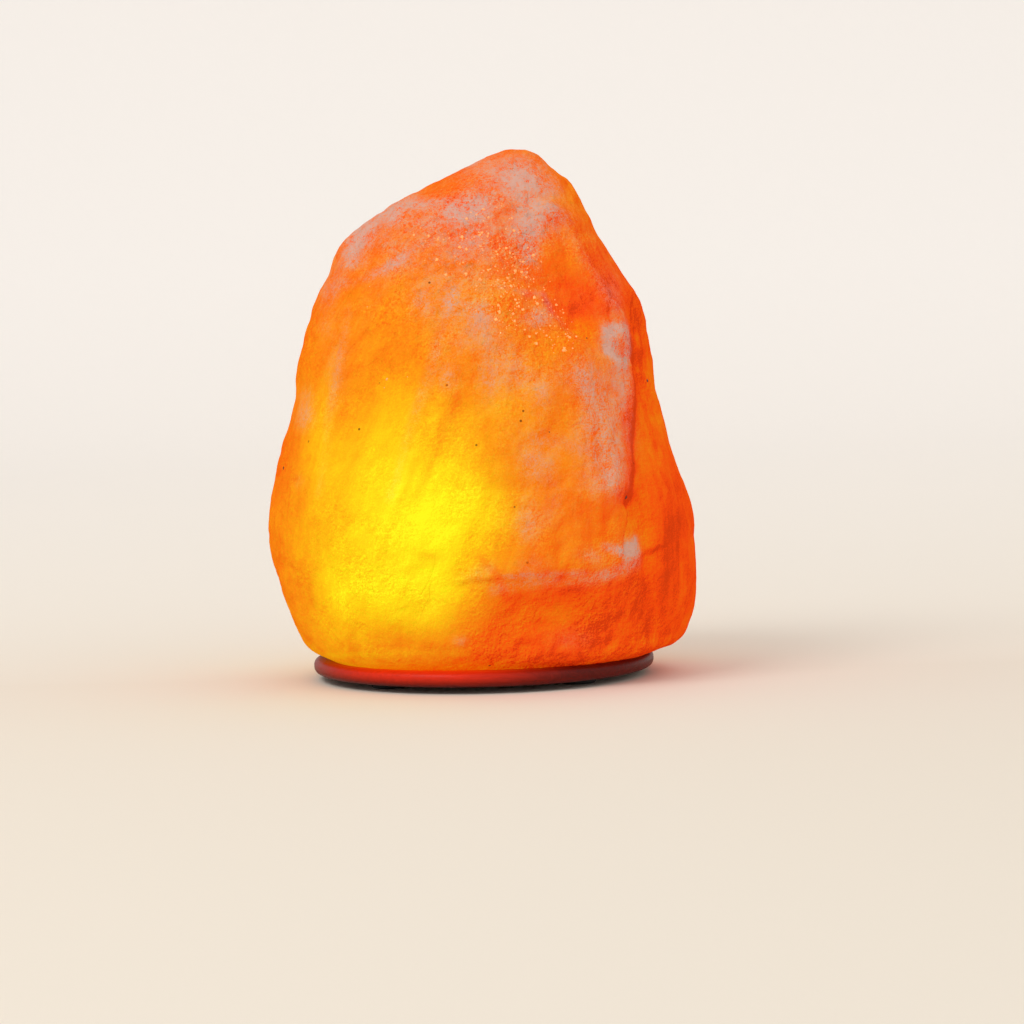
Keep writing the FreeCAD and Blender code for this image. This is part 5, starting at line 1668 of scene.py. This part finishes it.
    def frost(self, skin: Skin) -> np.ndarray:
        """How frosty the rock's skin is.

        Args:
            skin: the rock's outside.

        Returns:
            A level from 0 to 1 for each point.
        """
        cloud = Noise(83).fractal(skin.points * np.array((1, 1, 0.45)), 16, 4)
        back = np.maximum(0, 0.12 + 0.42 * Noise(91).fractal(skin.points, 26, 4))
        marks = skin.blend(0.02 + total(self.PALE, skin.spots), back)
        return np.clip(marks * (1 + 0.5 * cloud), 0, 1)

    def fields(self, inner: np.ndarray, skin: Skin, moved: np.ndarray) -> Dict[str, Tuple]:
        """What the finish and the grains read.

        Args:
            inner: the hole and the underside.
            skin: the rock's outside.
            moved: the same with its relief.

        Returns:
            For each attribute, its numbers inside and outside.
        """
        dark = np.zeros(inner.shape[:2])
        away = np.linalg.norm(inner - np.array((0, 0, self.bulb)), axis=-1)
        spread = Noise(19).fractal(skin.points, 26, 2)
        glint = skin.blend(total(self.GLINTS, skin.spots), 0.6 * np.maximum(0, spread - 0.25))
        clay = np.clip(0.04 + 0.1 * spread, 0, 1) + 14 * skin.marked(self.SPECKS) ** 2
        worn = 1 - 0.8 * np.clip(skin.marked(self.SMOOTH), -0.8, 1)
        return {
            "glow": (np.clip(1.05 - away / 150, 0.25, 1), self.light(skin)),
            "frost": (dark, self.frost(skin)),
            "wear": (dark + 0.5, worn),
            "glint": (dark, np.clip((glint - 0.12) / 0.88, 0, 1)),
            "clay": (dark, clay),
            "lean": (dark, self.lean(moved, skin.out)),
        }

    def stone(self) -> bpy.types.Object:
        """Makes the rock itself.

        Returns:
            The piece, which carries the attributes that its finish and its grains read.
        """
        inner, skin = self.inside(), self.outside()
        moved = skin.points + skin.out * self.relief(skin)[..., None]
        moved[..., 2] = np.maximum(moved[..., 2], self.form.seat)
        walls = np.concatenate((inner, moved))
        ends = np.array((inner[0].mean(axis=0), moved[-1].mean(axis=0)))
        points = np.concatenate((walls.reshape(-1, 3), ends))
        faces: List = ring_faces(len(walls), self.columns)
        tip, peak, last = len(points) - 2, len(points) - 1, (len(walls) - 1) * self.columns
        for column in range(self.columns):
            following = (column + 1) % self.columns
            faces.append((tip, following, column))
            faces.append((peak, last + column, last + following))
        mesh = new_mesh("salt_rock", points, faces)
        for name, (low, high) in self.fields(inner, skin, moved).items():
            values = np.concatenate((low.ravel(), high.ravel(), (low[0, 0], high[-1].mean())))
            mesh.attributes.new(name, "FLOAT", "POINT").data.foreach_set("value", values)
        finish = SALT.make()
        return add_piece("salt_rock", mesh, finish, "lamp_body", "salt_crystal")

    def build(self) -> List[bpy.types.Object]:
        """Makes the rock, and strews clear chips of salt and dark lumps of clay on it.

        Returns:
            The pieces.
        """
        rock = self.stone()
        pieces = [rock]
        plan = (("salt_grains", SALT_CUBE, CLEAR_GRAIN), ("clay_grains", CLAY_LUMP, CLAY_GRAIN))
        for name, crystal, finish in plan:
            material = finish.make()
            mesh = crystal.strew(name, rock, material)
            pieces.append(add_piece(name, mesh, material, "lamp_body"))
        return pieces


# ---- The bulb and the lampholder ----


@dataclass(frozen=True)
class Winding:
    """How a wire is wound.

    Attributes:
        coil, thick: radii of the coil and of the wire, in millimetres.
        turns: how often it goes round its path.
        steps, sides: how finely it is cut.
    """

    coil: float
    thick: float
    turns: float
    steps: int
    sides: int

    def mesh(self, name: str, recipe: Recipe, paths: Sequence[Sequence[Triple]]) -> bpy.types.Mesh:
        """Winds wires.

        Args:
            name: the mesh's name.
            recipe: the tree that winds them.
            paths: the corners of each path, in millimetres.

        Returns:
            The mesh of all the wires.
        """
        points, edges = [], []
        for path in paths:
            first = len(points)
            points += [tuple(np.array(spot) * MM) for spot in path]
            edges += [(first + step, first + step + 1) for step in range(len(path) - 1)]
        line = bpy.data.meshes.new("path")
        line.from_pydata(points, edges, [])
        carrier = bpy.data.objects.new("path", line)
        bpy.context.scene.collection.objects.link(carrier)
        sizes = {"Coil": self.coil * MM, "Wire": self.thick * MM, "Turns": self.turns}
        mesh = recipe.bake(name, carrier, Steps=self.steps, Sides=self.sides, **sizes)
        bpy.data.objects.remove(carrier)
        smooth_shade(mesh, sharp=60.0)
        return mesh


@dataclass
class WoundWires:
    """The springs and the filament: wires wound about a path, or run along one.

    Attributes:
        plunger: foot and top of the contact's spring.
        arch: half width, foot and rise of the filament's path.
        pin_x, pin_z: the middle of a clip's pin.
        near, far: lamp's middle plane to a clip spring's two ends.
        near_leg, far_leg: corners of the legs there, out from the pin and up.
        spring, filament, clip, leg: how each wire is wound.
    """

    plunger: Spot = (27.05, 34.45)
    arch: Triple = (6.5, 82.05, 3.75)
    pin_x: float = 17.2
    pin_z: float = 36.2
    near: float = 4.35
    far: float = 6.03
    near_leg: Tuple[Spot, ...] = ((-1.2, 0.0), (-1.2, 2.2), (-0.2, 5.2))
    far_leg: Tuple[Spot, ...] = ((-1.25, 0.0), (-1.25, -4.4), (-3.85, -6.1))
    spring: Winding = Winding(2.35, 0.3, 5.0, 170, 10)
    filament: Winding = Winding(0.19, 0.06, 74.0, 900, 6)
    clip: Winding = Winding(1.25, 0.25, 3.25, 90, 8)
    leg: Winding = Winding(0.0, 0.25, 0.0, 24, 8)

    def bulb_arch(self) -> List[Triple]:
        """The filament's path.

        Returns:
            Its corners.
        """
        half, foot, rise = self.arch
        turn = np.linspace(0, math.pi, 25)
        return list(zip(half * np.cos(turn), 0 * turn, foot + rise * np.sin(turn)))

    def clip_paths(self, side: int) -> Tuple[List, List]:
        """Paths of a clip's two springs.

        Args:
            side: 1 for the right clip and -1 for the left one.

        Returns:
            The paths of the coils, and of the leg at each end of each coil.
        """
        x, z = self.pin_x * side, self.pin_z
        coils, legs = [], []
        for face in (1, -1):
            near, far = self.near * face, self.far * face
            coils.append(((x, near, z), (x, far, z)))
            for y, leg in ((near, self.near_leg), (far, self.far_leg)):
                legs.append([(x + out * side, y, z + up) for out, up in leg])
        return coils, legs

    def build(self) -> List[bpy.types.Object]:
        """Makes the wires.

        Returns:
            The pieces.
        """
        steel, hot = wire_recipe(STEEL.make()), wire_recipe(HOT.make())
        column, arch = [[(0, 0, height) for height in self.plunger]], [self.bulb_arch()]
        node = "contact_spring"
        plan = [
            ("plunger_spring", self.spring, steel, column, "holder", node, node),
            ("glowing_coil", self.filament, hot, arch, "bulb", "filament", "filament"),
        ]
        for label, side in (("right", 1), ("left", -1)):
            name = f"clip_spring_{label}"
            coils, legs = self.clip_paths(side)
            plan.append((f"{name}_coils", self.clip, steel, coils, "holder", name, name))
            plan.append((f"{name}_legs", self.leg, steel, legs, "holder", name, ""))
        pieces = []
        for name, winding, recipe, paths, body, slot, node in plan:
            mesh = winding.mesh(name, recipe, paths)
            pieces.append(add_piece(name, mesh, mesh.materials[0], body, node))
        return pieces


@dataclass
class ThreadedSleeves:
    """The bulb's rolled cap and the brass shell that it screws into.

    Attributes:
        pitch: of their thread.
        cap: bottom, start of the thread, its end, and top of the bulb's cap.
        cap_root, cap_depth, cap_wall: the cap's radius, thread and sheet.
        lip: how far below the top its rolled lip is, and the lip's width and height.
        shell: bottom, start of the thread, and top of the brass shell.
        shell_root, shell_depth, shell_wall: the shell's inside radius, thread and sheet.
        shell_mouth: radius of the hole in its bottom.
        flare: how high and how far out it flares at the top.
        steps: rings up each wall.
    """

    pitch: float = 2.82
    cap: Tuple[float, float, float, float] = (41.6, 42.0, 53.9, 56.59)
    cap_root: float = 6.5
    cap_depth: float = 0.42
    cap_wall: float = 0.34
    lip: Triple = (0.35, 0.3, 0.22)
    shell: Triple = (35.0, 36.0, 55.0)
    shell_root: float = 7.2
    shell_depth: float = 0.3
    shell_wall: float = 0.4
    shell_mouth: float = 4.2
    flare: Spot = (1.2, 0.25)
    steps: Tuple[int, int] = (130, 140)

    def cap_mesh(self) -> bpy.types.Mesh:
        """Rolls the bulb's cap.

        Returns:
            Its mesh, with a lip at the top.
        """
        low, start, end, high = self.cap
        below, width, rise = self.lip
        heights = np.linspace(low, high, self.steps[0])
        lip = bell(heights - (high - below), width) * rise
        inside = self.cap_root - self.cap_wall
        rings = [(self.cap_root + extra, height, 1.0) for height, extra in zip(heights, lip)]
        rings += [(inside + extra, height, 0.9) for height, extra in zip(heights[::-3], lip[::-3])]
        return Thread(self.pitch, start, end, self.cap_depth).sleeve("cap_sleeve", rings)

    def shell_mesh(self) -> bpy.types.Mesh:
        """Rolls the brass shell.

        Returns:
            The mesh of its wall and bottom, which flares at the top.
        """
        low, start, high = self.shell
        floor, mouth = low + self.shell_wall, self.shell_mouth
        heights = np.linspace(floor, high, self.steps[1])
        flare = smooth_step(high - self.flare[0], high, heights) * self.flare[1]
        outside = self.shell_root + self.shell_wall
        rings = [(outside, low, 0.0)]
        for root, way in ((outside, 1), (self.shell_root, -1)):
            pairs = zip(heights[::way], flare[::way])
            rings += [(root + extra, height, 1.0) for height, extra in pairs]
        rings += [(mouth, floor, 0.0), (mouth, low, 0.0)]
        return Thread(self.pitch, start, high, self.shell_depth).sleeve("shell_sleeve", rings)

    def build(self) -> List[bpy.types.Object]:
        """Makes the sleeves.

        Returns:
            The pieces.
        """
        plan = (
            ("cap_sleeve", self.cap_mesh(), NICKEL, "bulb", "bulb_cap"),
            ("shell_sleeve", self.shell_mesh(), BRASS, "holder", "screw_shell"),
        )
        return [
            add_piece(name, mesh, finish.make(), body, node)
            for name, mesh, finish, body, node in plan
        ]


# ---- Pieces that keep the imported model's shape ----


class CarriedPieces:
    """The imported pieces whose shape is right, by their finish."""

    FINISHES = (
        (WOOD, ("wooden_base",)),
        (ZINC, ("base_screws", "shell_screws", "terminal_screws")),
        (RUBBER, ("rubber_feet",)),
        (PLASTIC, ("holder_cap", "holder_skirt", "lock_ring")),
        (CERAMIC, ("holder_core",)),
        (BRASS, ("live_terminal", "neutral_terminal", "centre_contact")),
        (STEEL, ("clip_collar", "clip_pins", "clip_left", "clip_right")),
        (TIN, ("tip_contact",)),
        (BLACK_GLASS, ("cap_insulator",)),
        (GLASS, ("bulb_glass", "bulb_stem")),
        (NICKEL, ("lead_wires",)),
    )

    def build(self) -> List[bpy.types.Object]:
        """Gives each piece its finish.

        Returns:
            The pieces.
        """
        dressed = []
        for finish, names in self.FINISHES:
            material = finish.make()
            for name in names:
                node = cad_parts[name]
                node.data.materials.clear()
                node.data.materials.append(material)
                dressed.append(node)
        return dressed


# ---- Stage ----


@dataclass
class Stage:
    """A plain pale floor that curves up behind the lamp, and soft light.

    Attributes:
        tone: the floor's colour.
        far: what is seen added to it far off, on the curve and above.
        beyond: what is seen past its edges.
        air: the light from all round.
        level: how high the floor is, in metres, as all its sizes.
        half_width: of the floor.
        front, back: where the floor starts and where it curves up.
        bend: radius of the curve.
        top: how far up it goes.
        haze: distances over which far sets in.
        aim: height that the lights point at.
        warm: their colour.
        lamps: name, place, size and power of each.
    """

    tone: Color = linear(238, 229, 216)
    far: Color = (0.23, 0.25, 0.29)
    beyond: Color = (0.85, 0.81, 0.765)
    air: Color = shade((1.0, 0.985, 0.965), 0.72)
    level: float = -0.0002
    half_width: float = 9.0
    front: float = -9.0
    back: float = 1.6
    bend: float = 1.2
    top: float = 4.0
    haze: Spot = (1.2, 5.0)
    aim: float = 0.08
    warm: Color = (1.0, 0.99, 0.97)
    lamps: Tuple[Tuple[str, Triple, float, float], ...] = (
        ("key", (-1.1, -1.1, 1.7), 1.0, 16.0),
        ("fill", (1.5, -1.3, 0.9), 1.8, 3.0),
        ("back", (0.5, 1.0, 1.9), 1.4, 3.0),
    )

    def seen(self, graph: Graph) -> Socket:
        """What the camera sees, straight or by a mirror or through glass.

        Args:
            graph: a material's or the world's graph.

        Returns:
            The socket of 1 there, and 0 for other light.
        """
        path = graph.add("ShaderNodeLightPath").outputs
        mirrored = graph.math("MAXIMUM", path["Is Glossy Ray"], path["Is Transmission Ray"])
        return graph.math("MAXIMUM", path["Is Camera Ray"], mirrored)

    def paper(self) -> bpy.types.Material:
        """Makes the floor's material.

        Returns:
            The material.
        """
        graph = MaterialGraph("paper")
        fibre = graph.noise(graph.where, 900, 3)
        depth = graph.apart(graph.where)[1]
        inputs = {0: graph.where}
        away = graph.add("ShaderNodeVectorMath", inputs, operation="LENGTH").outputs["Value"]
        inputs = {0: depth, 1: 0.0, 2: self.back + self.bend / 2}
        share = graph.math("POWER", graph.add("ShaderNodeMapRange", inputs).outputs[0], 0.6)
        share = graph.math("MAXIMUM", share, graph.band(away, *self.haze))
        share = graph.times(share, self.seen(graph))
        return graph.surface(
            base_color=graph.mix(fibre, self.tone, shade(self.tone, 0.985)),
            roughness=0.9,
            specular_ior_level=0.1,
            emission_color=graph.mix(share, (0.0, 0.0, 0.0), self.far),
            emission_strength=1.0,
        )

    def floor(self) -> None:
        """Makes the floor and backdrop."""
        line = [(self.front, self.level)]
        for angle in np.linspace(0, math.pi / 2, 17):
            rise = self.level + self.bend * (1 - math.cos(angle))
            line.append((self.back + self.bend * math.sin(angle), rise))
        line.append((self.back + self.bend, self.top))
        points = [(side * self.half_width, y, z) for y, z in line for side in (-1, 1)]
        faces = [(low, low + 1, low + 3, low + 2) for low in range(0, len(points) - 2, 2)]
        mesh = new_mesh("backdrop", np.array(points) / MM, faces)
        new_piece("backdrop", mesh, self.paper())

    def light(self) -> None:
        """Adds a large soft light from the upper left, two weaker ones, and air."""
        for name, place, size, power in self.lamps:
            lamp = bpy.data.lights.new(name, "AREA")
            lamp.shape = "SQUARE"
            lamp.size = size
            lamp.energy = power
            lamp.color = self.warm
            holder = bpy.data.objects.new(name, lamp)
            way = Vector((0.0, 0.0, self.aim)) - Vector(place)
            holder.location = place
            holder.rotation_euler = way.to_track_quat("-Z", "Y").to_euler()
            bpy.context.scene.collection.objects.link(holder)
        world = bpy.data.worlds.new("air")
        bpy.context.scene.world = world
        world.use_nodes = True
        graph = Graph(world.node_tree)
        tone = graph.mix(self.seen(graph), self.air, self.beyond)
        graph.tree.links.new(tone, graph.tree.nodes["Background"].inputs[0])


def main() -> None:
    """Builds the lamp, in order, and reports each piece."""
    bpy.context.scene.view_settings.view_transform = "Standard"
    PICTURE.add_camera()
    stage = Stage()
    stage.floor()
    stage.light()
    for part in (SaltRock(), ThreadedSleeves(), WoundWires(), CarriedPieces()):
        for piece in part.build():
            log.info("%s: %d faces", piece.name, len(piece.data.polygons))


if __name__ == "__main__":
    main()
